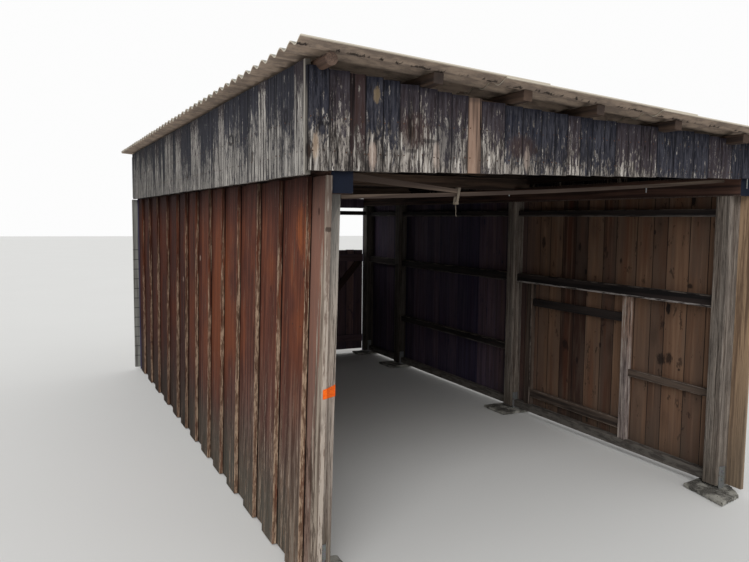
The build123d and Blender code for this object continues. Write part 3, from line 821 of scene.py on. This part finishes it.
board = 0.025
lap = 0.035
slack = 0.0003
wall_x = (left_x, left_x + board)
inner_x = (left_x + board + slack, left_x + 2 * board)
outer_y = (0.140, 0.530, 0.895, 1.290, 1.665, 2.020, 2.425, 2.800, 3.150, 3.600, 4.100, 4.560, 5.020)
outer_w = (0.190, 0.185, 0.195, 0.190, 0.185, 0.200, 0.190, 0.185, 0.195, 0.200, 0.195, 0.200, 0.190)
inner_front, inner_back = -0.037, 5.285
wall_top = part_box("left_wall")[1].z
outer_boards = []
for y, width in zip(outer_y, outer_w):
    top = wall_top - dice_of.uniform(0.0, 0.004)
    outer_boards.append(timber(wall_x, (front_y + y, front_y + y + width), (0.0, top), "z", "y"))
inner_starts = [inner_front] + [y + width - lap for y, width in zip(outer_y, outer_w)]
inner_ends = [y + lap for y in outer_y] + [inner_back]
inner_boards = []
for start, end in zip(inner_starts, inner_ends):
    span = (front_y + start, front_y + end)
    inner_boards.append(timber(inner_x, span, (0.0, wall_top - 0.002), "z", "y"))
for layer, boards, overlap, node in (("outer", outer_boards, 0.0, "left_outer_boards"),
                                     ("inner", inner_boards, lap, "left_wall")):
    stain = red_stain(f"worn red stain, {layer} boards", overlap)
    sawn_piece(f"stained_{layer}_boards", boards, stain, "stained_boards", node, rows=24, warp=0.002,
               ragged=0.012, lean=lean)

rusty = Finish("rusty nail heads")
grime = noise(rusty.place, 90.0, 3.0)
rusty.colour = blend(ease(grime, 0.4, 0.6), (58, 48, 43), (92, 62, 45))
rusty.close(0.7, grime, 0.0004, metallic=0.4)
rail_z = ((1.735, 1.785), (1.160, 1.235), (0.040, 0.100))
rail_middles = [sum(span) / 2 for span in rail_z]
nail_sunk = 0.0002
spots = []
for board_in_wall in outer_boards:
    for z in rail_middles:
        y = board_in_wall["middle"].y
        for step in (-0.05, 0.05):
            place = (left_x + lean * racking(y, z) - nail_sunk, y + step + dice_of.uniform(-0.008, 0.008), z)
            spots.append((place, inward))

rail_wood = Wood("dark rail timber", (54, 45, 43), (20, 17, 18), 0.4, 0.4)
dusty = ease(drawn_out(rail_wood.board, 40.0, 9.0, 4.0, 0.7), 0.44, 0.56)
rail_wood.lay(ease(rail_wood.facing[2], 0.5, 0.9) * dusty * 0.7, (126, 118, 110))
lower_rim = ease(rail_wood.local[0] + rail_wood.half[0], 0.016, 0.009)
rim_streaks = ease(drawn_out(rail_wood.board, 60.0, 5.0, 4.0, 0.7), 0.40, 0.54)
_, far, height = rail_wood.place.axes()
clean_rail = (height > 1.1) * (height < 1.3) * ease(far, -0.3, -0.6)
rail_wood.lay(lower_rim * rim_streaks * (0.15 + 0.8 * clean_rail), (206, 198, 194))
rail_wood.lay(rail_wood.arris(0.006) * dusty * 0.6, (142, 132, 122))
rail_wood.lay(ease(height, 0.13, 0.10) * (0.4 + 0.5 * dusty), (108, 103, 97))
rail_wood.done(uneven=0.2)
rail_w = 0.060
short = 0.007
rails = []
for near, far_y in zip(left_post_y[:-1], left_post_y[1:]):
    for span in rail_z:
        bay = (near + post + short, far_y - short)
        rails.append(timber((left_post_x, left_post_x + rail_w), bay, span, "y", "z"))
sawn_piece("sawn_left_rails", rails, rail_wood, "dark_rails", "left_rails", rows=16, bevel=0.003, lean=lean)


# Right wall. Upright boards nailed to the outside of the posts and rails, brown inside; the front bay
# has a framed panel of its own with uprights and ledges.

def brown_finish(name, dark, pale, painted_shade_share, marks=()):
    """Old brown boards; the share after the two colours is how strongly painted blue-grey shade covers
    their inner faces towards the back, and marks are large knots.
    """
    paint = Finish(name)
    place, tone = paint.board, paint.tone
    grain = Grain(place, 0.6, 0.0)
    _, far, height = paint.place.axes()
    from_middle = abs(paint.local[0])
    paint.colour = blend(ease(tone, 0.1, 0.9), dark, pale)
    paint.lay(ease(grain.drift, 0.40, 0.60) * 0.35, (60, 42, 35))
    paint.lay(ease(grain.streaks, 0.44, 0.62) * 0.25, (66, 46, 38))
    paint.lay(ease(grain.streaks, 0.46, 0.34) * 0.25, (160, 130, 106))
    paint.lay(ease(from_middle, 0.055, 0.01) * ease(grain.drift, 0.45, 0.6) * 0.35, (112, 66, 46))
    paint.lay(ease(drawn_out(place, 7.0, 1.2, 4.0, 0.6), 0.45, 0.6) * 0.4, (100, 86, 76))
    paint.lay(ease(drawn_out(place, 15.0, 7.0, 4.0, 0.7), 0.60, 0.66) * 0.6, (32, 23, 20))
    paint.lay(grain.halo * 0.3 + grain.knots * 0.65, (20, 14, 13))
    seam = ease(paint.half[0] - from_middle, 0.005, 0.0015)
    paint.lay(seam * 0.9, (11, 9, 9))
    paint.lay(ease(height, 0.40, 0.03) * 0.45, (66, 62, 56))
    across_face, along_face, _ = paint.facing
    looks = across_face + along_face
    for centre, reach in marks:
        blot = oval(paint, far - front_y, height, centre, reach, 3.0) * ease(across_face, -0.5, -0.8)
        paint.lay(blot * 0.8, (22, 16, 15))
    strands = drawn_out(place, 60.0, 1.6, 5.0, 0.75)
    # Painted shade: a cool blue-grey laid on the inner faces towards the back, for the shade deep inside the
    # shelter.
    shade = blend(tone, (50, 50, 86), (98, 86, 114))
    shade = blend(ease(strands, 0.42, 0.58) * 0.75, shade, (28, 30, 60))
    faces_in = ease(looks, -0.5, -0.8)
    paint.lay(faces_in * ease(far, -0.9, 0.3) * painted_shade_share, shade)
    weathered = blend(ease(strands, 0.42, 0.60), (150, 136, 122), (92, 78, 68))
    weathered = blend(tone * 0.6, weathered, (86, 66, 54))
    weathered = blend(seam * 0.9, weathered, (16, 13, 12))
    weathered = blend(grain.knots * 0.8, weathered, (44, 32, 26))
    paint.lay(ease(looks, 0.5, 0.8) * 0.85, weathered)
    tan = blend(ease(strands, 0.42, 0.58), (182, 154, 124), (116, 94, 75))
    tan = blend(ease(height, 1.1, 0.2) * 0.6, tan, (112, 103, 90))
    paint.lay(ease(far, -2.570, -2.590) * faces_in * 0.8, tan)
    paint.close(0.8, grain.height, 0.0015)
    return paint


dark_brown, pale_brown, deep_shade = (60, 39, 32), (130, 100, 79), 0.72
brown = brown_finish("brown inside boards", dark_brown, pale_brown, deep_shade)
right_knots = (((1.899, 1.520), (0.026, 0.050)), ((1.459, 1.495), (0.016, 0.036)),
               ((1.019, 1.409), (0.013, 0.020)), ((0.399, 1.277), (0.024, 0.016)),
               ((1.596, 0.693), (0.030, 0.046)), ((1.449, 0.587), (0.014, 0.030)),
               ((0.611, 0.747), (0.040, 0.044)), ((0.543, 0.762), (0.030, 0.042)),
               ((0.456, 0.700), (0.010, 0.010)), ((1.201, 0.749), (0.012, 0.022)),
               ((0.713, 1.629), (0.011, 0.018)))
right_brown = brown_finish("brown right boards", dark_brown, pale_brown, deep_shade, right_knots)
board_widths = (0.12, 0.19)
thin_edges = {"bevel": 0.0015, "warp": 0.0006}


def run_of_boards(grow, start, end, through, heights, widths, seed, measured=()):
    """Upright boards side by side: the measured widths first, then widths drawn between two values."""
    draw = random.Random(seed)
    given = list(measured)
    found = []
    while start < end - 0.001:
        width = given.pop(0) if given else draw.uniform(*widths)
        if end - start - width < widths[0] * 0.7:
            width = end - start if end - start < widths[1] * 1.3 else (end - start) / 2
        low_z, high_z = heights(start, start + width) if callable(heights) else heights
        spans = {"x": through, "y": through, grow: (start, start + width)}
        drop = draw.uniform(0.0, 0.004)
        found.append(timber(spans["x"], spans["y"], (low_z + drop, high_z - drop), "z", grow))
        start += width
    return found


def nails_in(boards, grow, face, way, heights, step=0.035):
    """Two nails at each height through each board, on the plane of its face."""
    found = []
    for one in boards:
        for z in heights:
            for side_step in (-step, step):
                place = one["middle"].copy()
                place["xy".index(grow)] += side_step + dice_of.uniform(-0.006, 0.006)
                place["yx".index(grow)] = face
                place.z = z + dice_of.uniform(-0.006, 0.006)
                found.append((tuple(place), way))
    return found


through, along, heights = spans_of("right_wall")
right_widths = (0.155, 0.160, 0.150, 0.185, 0.120, 0.150, 0.200, 0.130, 0.170)
boards = run_of_boards("y", *along, through, heights, board_widths, 3, right_widths)
sawn_piece("brown_right_boards", boards, right_brown, "brown_boards", "right_wall", rows=20, **thin_edges,
           ragged=0.01)
spots += nails_in(boards, "y", through[1] - slack, outward, rail_middles)

bays = [(near + post, far_y) for near, far_y in zip(right_post_y[:-1], right_post_y[1:])]
wall_side = right_post_x + post
rail_x = (wall_side - rail_w, wall_side)
for name, spans in (("right_top_rails", [(bay, rail_z[0]) for bay in bays]),
                    ("right_mid_rails", [(bay, rail_z[1]) for bay in bays]),
                    ("right_low_rails", [(bays[1], (0.530, 0.590))] +
                     [((bay[0] + short, bay[1] - short), rail_z[2]) for bay in bays])):
    rails = [timber(rail_x, bay, span, "y", "z") for bay, span in spans]
    sawn_piece("sawn_" + name, rails, rail_wood, "dark_rails", name, rows=16, bevel=0.003)

panel_wood = Wood("panel batten timber", (100, 86, 76), (46, 38, 34), 0.4, 0.4)
dusty = ease(drawn_out(panel_wood.board, 40.0, 9.0, 4.0, 0.7), 0.44, 0.62)
panel_wood.lay(panel_wood.arris(0.006) * dusty * 0.7, (152, 140, 130))
strands = drawn_out(panel_wood.board, 70.0, 4.0, 5.0, 0.75)
tan = blend(ease(panel_wood.place.axes()[2], 0.6, 1.0), (136, 124, 120), (158, 130, 114))
tan = blend(ease(strands, 0.52, 0.60), tan, (188, 176, 166))
tan = blend(ease(strands, 0.46, 0.38), tan, (66, 54, 50))
panel_wood.lay(ease(panel_wood.tone, 1.5, 1.9) * 0.85, tan)
panel_wood.lay(ease(panel_wood.tone, 0.1, 0.05) * 0.75, (24, 22, 26))
panel_wood.done()
upright_x, ledge_x = (wall_side - 0.045, wall_side), (wall_side - 0.030, wall_side)
upright_w = 0.065
panel_front, panel_back = front_y + 0.880, front_y + 1.985
uprights = [timber(upright_x, (y, y + upright_w), (rail_z[2][1], rail_z[1][0]), "z", "y", tone)
            for y, tone in ((panel_front, 2.0), (panel_back, 0.8))]
sawn_piece("sawn_panel_uprights", uprights, panel_wood, "panel_battens", "panel_uprights", rows=14)
panel_bay, front_bay = (panel_front + upright_w, panel_back), (bays[0][0], panel_front)
ledges = [timber(ledge_x, bay, span, "y", "z", tone)
          for bay, span, tone in ((panel_bay, (0.966, 1.030), 0.0), (panel_bay, (0.165, 0.235), 0.2),
                                  (front_bay, (0.575, 0.625), 0.4))]
sawn_piece("sawn_panel_ledges", ledges, panel_wood, "panel_battens", "panel_ledges", rows=14)


# Back wall. The same boards, with an opening at the right that a low gate closes; over the opening
# there is a short row of boards and a bar, and a pale board covers the corner at the left.

across, through, heights = spans_of("back_wall")
boards = run_of_boards("x", *across, through, heights, board_widths, 20)
sawn_piece("brown_back_boards", boards, brown, "brown_boards", "back_wall", rows=20, **thin_edges,
           ragged=0.01)
spots += nails_in(boards, "x", through[1] - slack, back, rail_middles)
across, through, heights = spans_of("back_lintel")
boards = run_of_boards("x", *across, through, heights, board_widths, 4)
sawn_piece("brown_lintel_boards", boards, brown, "brown_boards", "back_lintel", rows=4, **thin_edges,
           ragged=0.004)
corner_board = [box_timber("back_right_board", "z", "x")]
sawn_piece("brown_right_corner_board", corner_board, brown, "brown_boards", "back_right_board", rows=20,
           **thin_edges)
sawn_piece("sawn_gate_post", [box_timber("gate_post", "z", "x")], post_wood, "post_wood", "gate_post",
           rows=20, bevel=0.003)
sawn_piece("sawn_opening_bar", [box_timber("opening_bar", "x", "z")], rail_wood, "dark_rails",
           "opening_bar", rows=10)
across, through, _ = spans_of("back_rails")
rails = [timber(across, through, span, "x", "z") for span in rail_z]
sawn_piece("sawn_back_rails", rails, rail_wood, "dark_rails", "back_rails", rows=16, bevel=0.003)

pale_wood = Wood("pale corner board", (142, 142, 136), (92, 90, 86), 0.3, 0.5)
height = pale_wood.place.axes()[2]
first_mark, mark_step = 0.160, 0.107
steps = (height - first_mark) / mark_step
off_mark = abs(steps - steps.math("ROUND", steps)) * mark_step
marked = ease(off_mark, 0.006, 0.003) * (height > 0.12) * (height < 1.40)
pale_wood.lay(marked * 0.8, (44, 44, 44))
pale_wood.done()
sawn_piece("pale_rear_corner_board", [box_timber("rear_corner_board", "z", "x")], pale_wood, "pale_board",
           "rear_corner_board", rows=20)


# Gate. Upright boards on two ledges and a brace, hung on strap hinges that turn on pins on the gate
# post; it opens to the back.

(gate_left, gate_right), through, (gate_low, gate_high) = spans_of("gate_leaf")
gate_widths = (0.105, 0.098, 0.110, 0.102, 0.095, 0.108, 0.100, 0.104)
scale = (gate_right - gate_left) / sum(gate_widths)
half_gap = 0.0015
boards = []
x = gate_left
for width in gate_widths:
    top = gate_high - dice_of.uniform(0.0, 0.012)
    span = (x + half_gap, x + width * scale - half_gap)
    boards.append(timber(span, through, (gate_low, top), "z", "x"))
    x += width * scale
gate_brown = brown_finish("brown gate boards", (112, 82, 70), (160, 122, 102), 0.45)
sawn_piece("brown_gate_boards", boards, gate_brown, "brown_boards", "gate_leaf", body="gate", rows=16,
           bevel=0.0015, warp=0.0005, ragged=0.006)
gate_spots = nails_in(boards, "x", through[1] - slack, back, (0.195, 1.215), 0.028)
heads("gate_nails", gate_spots, nail, rusty, body="gate")
across, through, _ = spans_of("gate_ledges")
ledge_h = 0.090
ledges = [timber(across, through, (z, z + ledge_h), "x", "z") for z in (0.150, 1.170)]
sawn_piece("sawn_gate_ledges", ledges, gate_brown, "dark_rails", "gate_ledges", body="gate", rows=12)
brace_turn = (0.0, math.radians(-44.0), 0.0)
brace_wood = Wood("dark brace timber", (78, 54, 46), (44, 31, 28), 0.4, 0.4, brace_turn)
brace_wood.done()
dressed(nodes["gate_brace"], brace_wood)


# Roof. Corrugated fibre-cement sheets of seven waves, each lapped by a half wave on the next and in
# three courses down the slope; held by screws with cap washers through every third crest.

wave_pitch, rise, thickness = 0.130, 0.012, 0.0055
waves, lapped_waves = 7, 7.5
side_lap = 0.0045
sheet_depth = 0.030
cap_sunk = 0.0004


def sheet_tree():
    """A corrugated sheet on each point, with a crest at its front edge; the point holds its sizes."""
    tree, value = new_group("corrugated sheet")
    laid, (sx, sy, sz), _, centre = cubes(tree, value, 1.0, (12, 13 * waves, 2))
    length, width, drop = own(tree, "size").axes()
    along = (sx + 0.5) * length
    across = (sy + 0.5) * width
    wave = (across * (2.0 * math.pi) / wave_pitch + math.pi / 2).sine() * rise
    sheet_z = wave + sz * thickness - (sy + 0.5) * side_lap - along * drop
    laid = store(tree, laid, "local", vector(along, across, sheet_z))
    return end_group(tree, placed(tree, laid, Position=own(tree, "local").moved(centre)), value)


cement = Finish("fibre cement")
place = cement.place
speck = noise(place, 420.0, 3.0, 0.7)
cloud = noise(place, 3.0, 5.0, 0.6)
runs = noise(place.stretched((0.7, 14.0, 1.0)), 1.0, 4.0, 0.6)
number = cement.own("seed")
cement.colour = blend(cloud, (138, 135, 127), (172, 167, 155))
cement.lay(ease(runs, 0.5, 0.75) * 0.5, (98, 97, 90))
cement.lay(ease(noise(place, 26.0, 4.0, 0.7), 0.6, 0.72) * 0.6, (104, 108, 82))
cement.lay((number > 0.5) * 0.35, (116, 120, 108))
cement.lay(ease(speck, 0.55, 0.7) * 0.3, (186, 180, 166))
normal_z = cement.facing[2]
below = ease(normal_z, -0.3, -0.6)
mottle = ease(noise(place.stretched((9.0, 30.0, 9.0)), 1.0, 5.0, 0.7), 0.38, 0.62)
under = blend(mottle, (166, 146, 129), (124, 108, 97))
under = blend(ease(speck, 0.52, 0.66) * 0.35, under, (160, 146, 128))
cement.lay(below * 0.9, under)
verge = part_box("roof_course_middle")[0].y
from_verge = place.axes()[1] - verge
ragged = noise(place.stretched((30.0, 0.0, 0.0)), 1.0, 5.0, 0.8)
# Painted shadow: a broken near-black line across the underside, about 52 mm behind the verge, where the
# first trough hides the flank behind it; these marks are not chips.
chips = ease(abs(from_verge - 0.052 - 0.10 * (ragged - 0.5)), 0.009, 0.004)
chips = chips * ease(noise(place.stretched((7.0, 0.0, 0.0)), 1.0, 3.0, 0.8), 0.49, 0.53)
cement.lay(below * chips * 0.9, (34, 28, 26))
# Painted highlight: a cream band along the verge, where the sunlit crest edge shows.
rim = ease(from_verge - 0.02 * (ragged - 0.5), 0.013, 0.007)
cement.lay(rim * 0.75, (206, 195, 178))
cut_edge = ease(abs(normal_z), 0.45, 0.25)
cement.lay(cut_edge * 0.9, blend(cloud, (216, 207, 190), (190, 181, 164)))
cement.close(0.9, speck * 0.4 + cloud, 0.0012)

corrugated = sheet_tree()
crests, crests_per_screw = 44, 3
spots_on_roof = []
left_to_screw = list(purlin_x)
for name in ("roof_course_upper", "roof_course_middle", "roof_course_lower"):
    low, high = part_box(name)
    drop = (high.z - sheet_depth - low.z) / (high.x - low.x)
    starts = []
    start = low.y
    while start < high.y - 0.01:
        starts.append(start)
        start += waves * wave_pitch
    sizes = [(high.x - low.x, min(lapped_waves * wave_pitch, high.y - start), drop) for start in starts]
    corners = [(low.x, start, high.z - sheet_depth / 2) for start in starts]
    seeds = [dice_of.random() for _ in starts]
    mesh = carrier_mesh(name + "_sheets", corners, {"size": sizes}, {"seed": seeds})
    piece = grown(name + "_sheets", mesh, corrugated, {"Material": cement.material})
    for polygon in piece.data.polygons:
        polygon.use_smooth = abs(polygon.normal.z) > 0.5
    hand_over(piece, "roof_sheet", name)
    for x in [x for x in left_to_screw if x < high.x - 0.02]:
        left_to_screw.remove(x)
        for crest in range(1, crests, crests_per_screw):
            across = crest * wave_pitch
            sheet_share = across % (waves * wave_pitch) / (lapped_waves * wave_pitch)
            top = high.z - cap_sunk - drop * (x - low.x) - side_lap * sheet_share
            spots_on_roof.append(((x, low.y + across, top), (drop, 0.0, 1.0)))
heads("roof_screw_caps", spots_on_roof, {"Sides": 10, "Foot": 0.0125, "Top": 0.0075, "Height": 0.0060}, zinc)


# Fascias. Upright boards nailed to the plate ends and battens all round under the roof. Their dark
# paint is nearly whole under the sheets and has flaked to silver-grey wood further down.

class Flaking(Finish):
    """Dark paint that holds near the top; kept is where it thins and where it is gone, from the top, and
    varied is how much the boards differ."""

    def __init__(self, name, kept, run, varied, pale, dark):
        super().__init__(name)
        place, tone = self.board, self.tone
        self.grain = Grain(place, 0.2, 0.8)
        across, far, self.up = self.place.axes()
        self.across = across - left_x
        self.from_top = self.half[2] - self.local[2]
        strands = drawn_out(place, 66.0, run, 5.0, 0.8)
        flakes = drawn_out(place, 95.0, 24.0, 4.0, 0.8)
        patches = drawn_out(place, 28.0, 12.0, 3.0, 0.6)
        lost = ease(self.from_top + varied * (tone - 0.5) - 0.08 * ease(across, 0.0, 0.7), *kept)
        loss = 0.32 * strands + 0.43 * flakes + 0.25 * patches + 0.125 * (lost - 0.5)
        self.bare = ease(loss, 0.490, 0.545)
        veins = drawn_out(place, 70.0, 0.8 * run, 5.0, 0.8)
        silver = blend(ease(veins, 0.44, 0.56), pale, dark)
        gleams = noise(place.stretched((80.0, 80.0, 5.0)).moved((5.0, 5.0, 5.0)), 1.0, 4.0)
        silver = blend(ease(gleams, 0.56, 0.64) * 0.7, silver, (208, 202, 194))
        silver = blend(self.grain.slits * 0.85, silver, (42, 38, 38))
        self.colour = blend(ease(veins, 0.40, 0.60), (68, 68, 76), (30, 31, 39))
        self.lay(lost * ease(flakes, 0.44, 0.56) * 0.5, (104, 98, 96))
        self.lay(ease(patches, 0.48, 0.60) * 0.4, (44, 46, 58))
        self.lay((tone > 0.7) * 0.3, (70, 54, 50))
        self.lay(self.bare, silver)
        furrows = noise(place.stretched((85.0, 85.0, run)).moved((9.0, 9.0, 9.0)), 1.0, 4.0, 0.8)
        self.lay(ease(furrows, 0.45, 0.37) * 0.75, (32, 29, 31))
        # Painted shade: the boards darken towards the back.
        shaded = 1.0 - 0.50 * ease(far, -1.9, 1.8)
        self.dim(shaded, shaded, shaded)

    def finished(self):
        """Knots, cracks and seams over everything else."""
        self.lay(self.grain.knots * 0.8, (50, 38, 32))
        self.lay(self.grain.cracks * 0.95, (12, 11, 12))
        seam = ease(self.half[0] - abs(self.local[0]), 0.0055, 0.002)
        self.lay(seam * 0.6, (16, 15, 18))
        self.close(0.82, self.grain.height + (1.0 - self.bare) * 0.3, 0.0020, gloss=0.08, uneven=0.14)


def between(value, low, high):
    return (value > low) * (value < high)


front_paint = Flaking("flaking paint with painted shade, front", (0.06, 0.37), 8.0, 0.12, (152, 145, 138), (66, 61, 58))
across, height, streaks = front_paint.across, front_paint.up, front_paint.grain.streaks
brown_board = blend(ease(streaks, 0.42, 0.58), (164, 136, 118), (112, 92, 80))
front_paint.lay(between(across, 0.764, 0.840) * 0.85, brown_board)
# Painted shadow: a dark blue band along the tops of the front boards, under the roof's edge.
front_paint.lay(ease(front_paint.from_top, 0.035, 0.010) * 0.4, (24, 25, 36))
front_paint.lay(between(across, 0.152, 0.228) * (1.0 - front_paint.bare) * 0.6, (72, 52, 46))
for centre, reach, shade in (((0.475, 2.100), (0.080, 0.085), (66, 50, 46)),
                             ((0.650, 2.060), (0.075, 0.120), (50, 49, 54)),
                             ((1.080, 2.060), (0.090, 0.060), (70, 54, 50)),
                             ((0.280, 2.246), (0.018, 0.036), (150, 130, 100)),
                             ((-0.009, 2.008), (0.016, 0.060), (190, 166, 142)),
                             ((0.262, 1.979), (0.022, 0.065), (182, 160, 146)),
                             ((0.592, 1.990), (0.018, 0.070), (184, 166, 154)),
                             ((1.114, 1.999), (0.018, 0.060), (188, 170, 158)),
                             ((0.036, 2.106), (0.034, 0.011), (30, 27, 29)),
                             ((0.556, 2.061), (0.040, 0.010), (26, 24, 27)),
                             ((0.459, 2.011), (0.032, 0.010), (28, 26, 28)),
                             ((1.908, 2.099), (0.011, 0.016), (10, 9, 10))):
    patch = oval(front_paint, across, height, centre, reach)
    front_paint.lay(patch * (0.35 + 0.4 * streaks), shade)
left_end = ease(front_paint.facing[0], -0.7, -0.9)
front_paint.lay(left_end * ease(height, 2.30, 2.20) * 0.8, (164, 156, 146))
front_paint.finished()

side_paint = Flaking("flaking paint with painted shade, sides", (0.02, 0.38), 1.6, 0.34, (176, 171, 165), (70, 67, 66))
far, height = side_paint.place.axes()[1] - front_y, side_paint.up
for centre, reach in (((0.235, 2.161), (0.028, 0.044)), ((1.198, 2.147), (0.060, 0.036))):
    outer_eye = oval(side_paint, far, height, centre, reach)
    inner_eye = oval(side_paint, far, height, centre, (reach[0] / 2, reach[1] / 2))
    side_paint.lay((outer_eye - inner_eye).clamped() * 0.85, (30, 28, 31))
worn_edge = blend(side_paint.grain.streaks, (190, 184, 174), (120, 114, 106))
side_paint.lay(ease(far, 0.012, 0.002) * 0.8, worn_edge)
side_paint.finished()


lowest_foot, foot_rise = 1.901, 0.02


def front_heights(start, end):
    """Each board is cut level, a little under the line of the purlins; the gap is widest at mid-left.
    The feet of the boards rise a little to the right."""
    places = [-0.046, 0.120, 0.500, 1.000, 1.300, 1.600, 1.900, 2.300, 2.920]
    gaps = [0.030, 0.034, 0.041, 0.049, 0.047, 0.040, 0.028, 0.010, 0.009]
    x = end - left_x
    number = max(i for i in range(len(places) - 1) if places[i] <= x)
    share = (x - places[number]) / (places[number + 1] - places[number])
    gap = gaps[number] + share * (gaps[number + 1] - gaps[number])
    return lowest_foot + foot_rise * ((start + end) / 2 - left_x), eave_line(end) - gap


front_widths = (0.100, 0.098, 0.076, 0.086, 0.084, 0.099, 0.098, 0.077, 0.092, 0.076, 0.136, 0.108, 0.116,
                0.084, 0.084, 0.084, 0.082, 0.083, 0.081, 0.088, 0.092, 0.121, 0.131, 0.157, 0.122, 0.084,
                0.110, 0.082)
left_widths = (0.142, 0.172, 0.111, 0.125, 0.127, 0.180, 0.170, 0.124, 0.112, 0.111, 0.135, 0.136, 0.115,
               0.115)
two_rows, one_row = (1.990, 2.130), (1.995,)
for side, grow, paint, measured, rows, way, nail_rows in (
        ("front", "x", front_paint, front_widths, 12, front, two_rows),
        ("back", "x", side_paint, (), 12, back, two_rows),
        ("left", "y", side_paint, left_widths, 12, inward, two_rows),
        ("right", "y", side_paint, (), 8, outward, one_row)):
    low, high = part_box(side + "_fascia")
    grow_axis = "xy".index(grow)
    through_axis = 1 - grow_axis
    through = (low[through_axis], high[through_axis])
    heights = front_heights if grow == "x" else (low.z, high.z)
    boards = run_of_boards(grow, low[grow_axis], high[grow_axis], through, heights, (0.085, 0.135),
                           rows + grow_axis, measured)
    sawn_piece("flaked_" + side + "_boards", boards, paint, "fascia_boards", side + "_fascia", rows=rows,
               bevel=0.0018, warp=0.001, ragged=0.006)
    face = through[1] - slack if sum(way) > 0 else through[0] + slack
    spots += nails_in(boards, grow, face, way, nail_rows, 0.03)
heads("board_nails", spots, nail, rusty)


# Laths across the front opening. A long thin lath is wedged between the posts, a shorter one is nailed
# to the left plate, and a strip of cloth ties the two together, with a bit of string hanging from it.

lath_wood = Wood("old lath", (112, 97, 85), (66, 54, 48), 0.3, 0.3)
lath_wood.done(0.001, uneven=0.12)


def lath(name, node, left_z, right_z, half, rows, bow=0.0, taper=0.0):
    """A lath from side to side of its solid's box, at one height at the left and another at the right."""
    low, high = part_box(node)
    start = Vector((low.x, (low.y + high.y) / 2, left_z))
    end = Vector((high.x, (low.y + high.y) / 2, right_z))
    along = (end - start).normalized()
    across = square_axes["y"].cross(along)
    strip = member((start + end) / 2, along, across, [*half, (end - start).length / 2], bow)
    sawn_piece(name, [strip], lath_wood, "lath_wood", node, rows=rows, bevel=0.001, warp=0.001, taper=taper)


lath("old_long_lath", "long_lath", 1.800, 1.955, [0.010, 0.006], rows=32, bow=0.016)
lath("old_tied_lath", "tied_lath", 1.8985, 1.841, [0.01375, 0.006], rows=12, taper=-0.33)

cloth = Finish("cotton strip")
weave = 5200.0
threads, crossing = [(cloth.place.axes()[axis] * weave).sine() * 0.5 + 0.5 for axis in (2, 0)]
cloth.colour = blend(noise(cloth.place, 60.0, 3.0), (150, 138, 122), (104, 94, 84))
cloth.lay(threads * crossing * 0.25, (84, 76, 68))
cloth.close(0.95, threads + crossing, 0.0004)
tie = merged_copy("cotton_tie", "lath_tie")
remeshed(tie, 0.0016)
smooth = tie.modifiers.new("smooth", "SMOOTH")
smooth.iterations = 3
tie = made(tie)
dressed(tie, cloth)
for polygon in tie.data.polygons:
    polygon.use_smooth = True
hand_over(tie, "tie_band", "lath_tie")

string_width = 0.003
string_data = bpy.data.curves.new("cotton_string", "CURVE")
string_data.dimensions = "3D"
string_data.bevel_depth = string_width / 2
string_data.bevel_resolution = 3
string_data.use_fill_caps = True
spline = string_data.splines.new("NURBS")
start = Vector((left_x + 0.7915, front_y + 0.100, 1.776))
route = [(0.0, 0.0, 0.0), (0.0, 0.0, -0.018), (0.0018, -0.0012, -0.035), (0.0004, 0.0006, -0.051),
         (0.0054, 0.0002, -0.059)]
spline.points.add(len(route) - 1)
for point, step in zip(spline.points, route):
    point.co = (*(start + Vector(step)), 1.0)
spline.order_u = 3
spline.use_endpoint_u = True
string_piece = in_scene("cotton_string", string_data)
string_data.materials.append(cloth.material)
hand_over(string_piece, "tie_band", "tie_string")


# Old pins over the opening. Two bent nails hang from the right plate and one from the front boards,
# left from a tarpaulin.

pins = []
pin_half = 0.0028
for x, y, low_z, high_z in ((2.084, 0.106, 1.866, 1.900), (1.119, 0.106, 1.825, 1.841),
                            (2.764, -0.030, 1.903, 1.962)):
    middle = Vector((left_x + x, front_y + y, (low_z + high_z) / 2))
    half = [pin_half, pin_half, (high_z - low_z) / 2]
    pins.append(member(middle, square_axes["z"], square_axes["x"], half, tone=0.0))
sawn_piece("old_pins", pins, zinc, "galvanised_steel", rows=6, bevel=0.0008)


# Marker tape. A strip of orange tape is wound once round the left front post. Each station holds where
# it stands and the heights of its two edges.

orange = Finish("orange tape")
creases = noise(orange.place.stretched((60.0, 60.0, 150.0)), 1.0, 4.0, 0.6)
orange.colour = blend(ease(creases, 0.35, 0.65), (236, 92, 6), (250, 112, 12))
orange.lay(ease(noise(orange.place, 200.0, 3.0), 0.58, 0.7) * 0.5, (150, 74, 36))
orange.close(0.45, creases, 0.0012)
stations = ((0.0290, -0.0392, 0.901, 0.944), (0.0485, -0.0392, 0.904, 0.949), (0.0497, 0.0985, 0.856, 0.893),
            (0.1040, 0.0985, 0.866, 0.913), (0.1470, 0.0985, 0.874, 0.929), (0.1505, 0.1600, 0.885, 0.940))
points = []
faces = []
for number, (x, y, low_z, high_z) in enumerate(stations):
    points += [(left_x + x, front_y + y, low_z), (left_x + x, front_y + y, high_z)]
    if number:
        first = 2 * number - 2
        faces.append((first, first + 2, first + 3, first + 1))
tape_mesh = bpy.data.meshes.new("marker_tape")
tape_mesh.from_pydata(points, [], faces)
tape = in_scene("marker_tape", tape_mesh)
thicken = tape.modifiers.new("thicken", "SOLIDIFY")
thicken.thickness = 0.0008
thicken.offset = 1.0
tape = made(tape)
dressed(tape, orange)
hand_over(tape, "marker_tape")
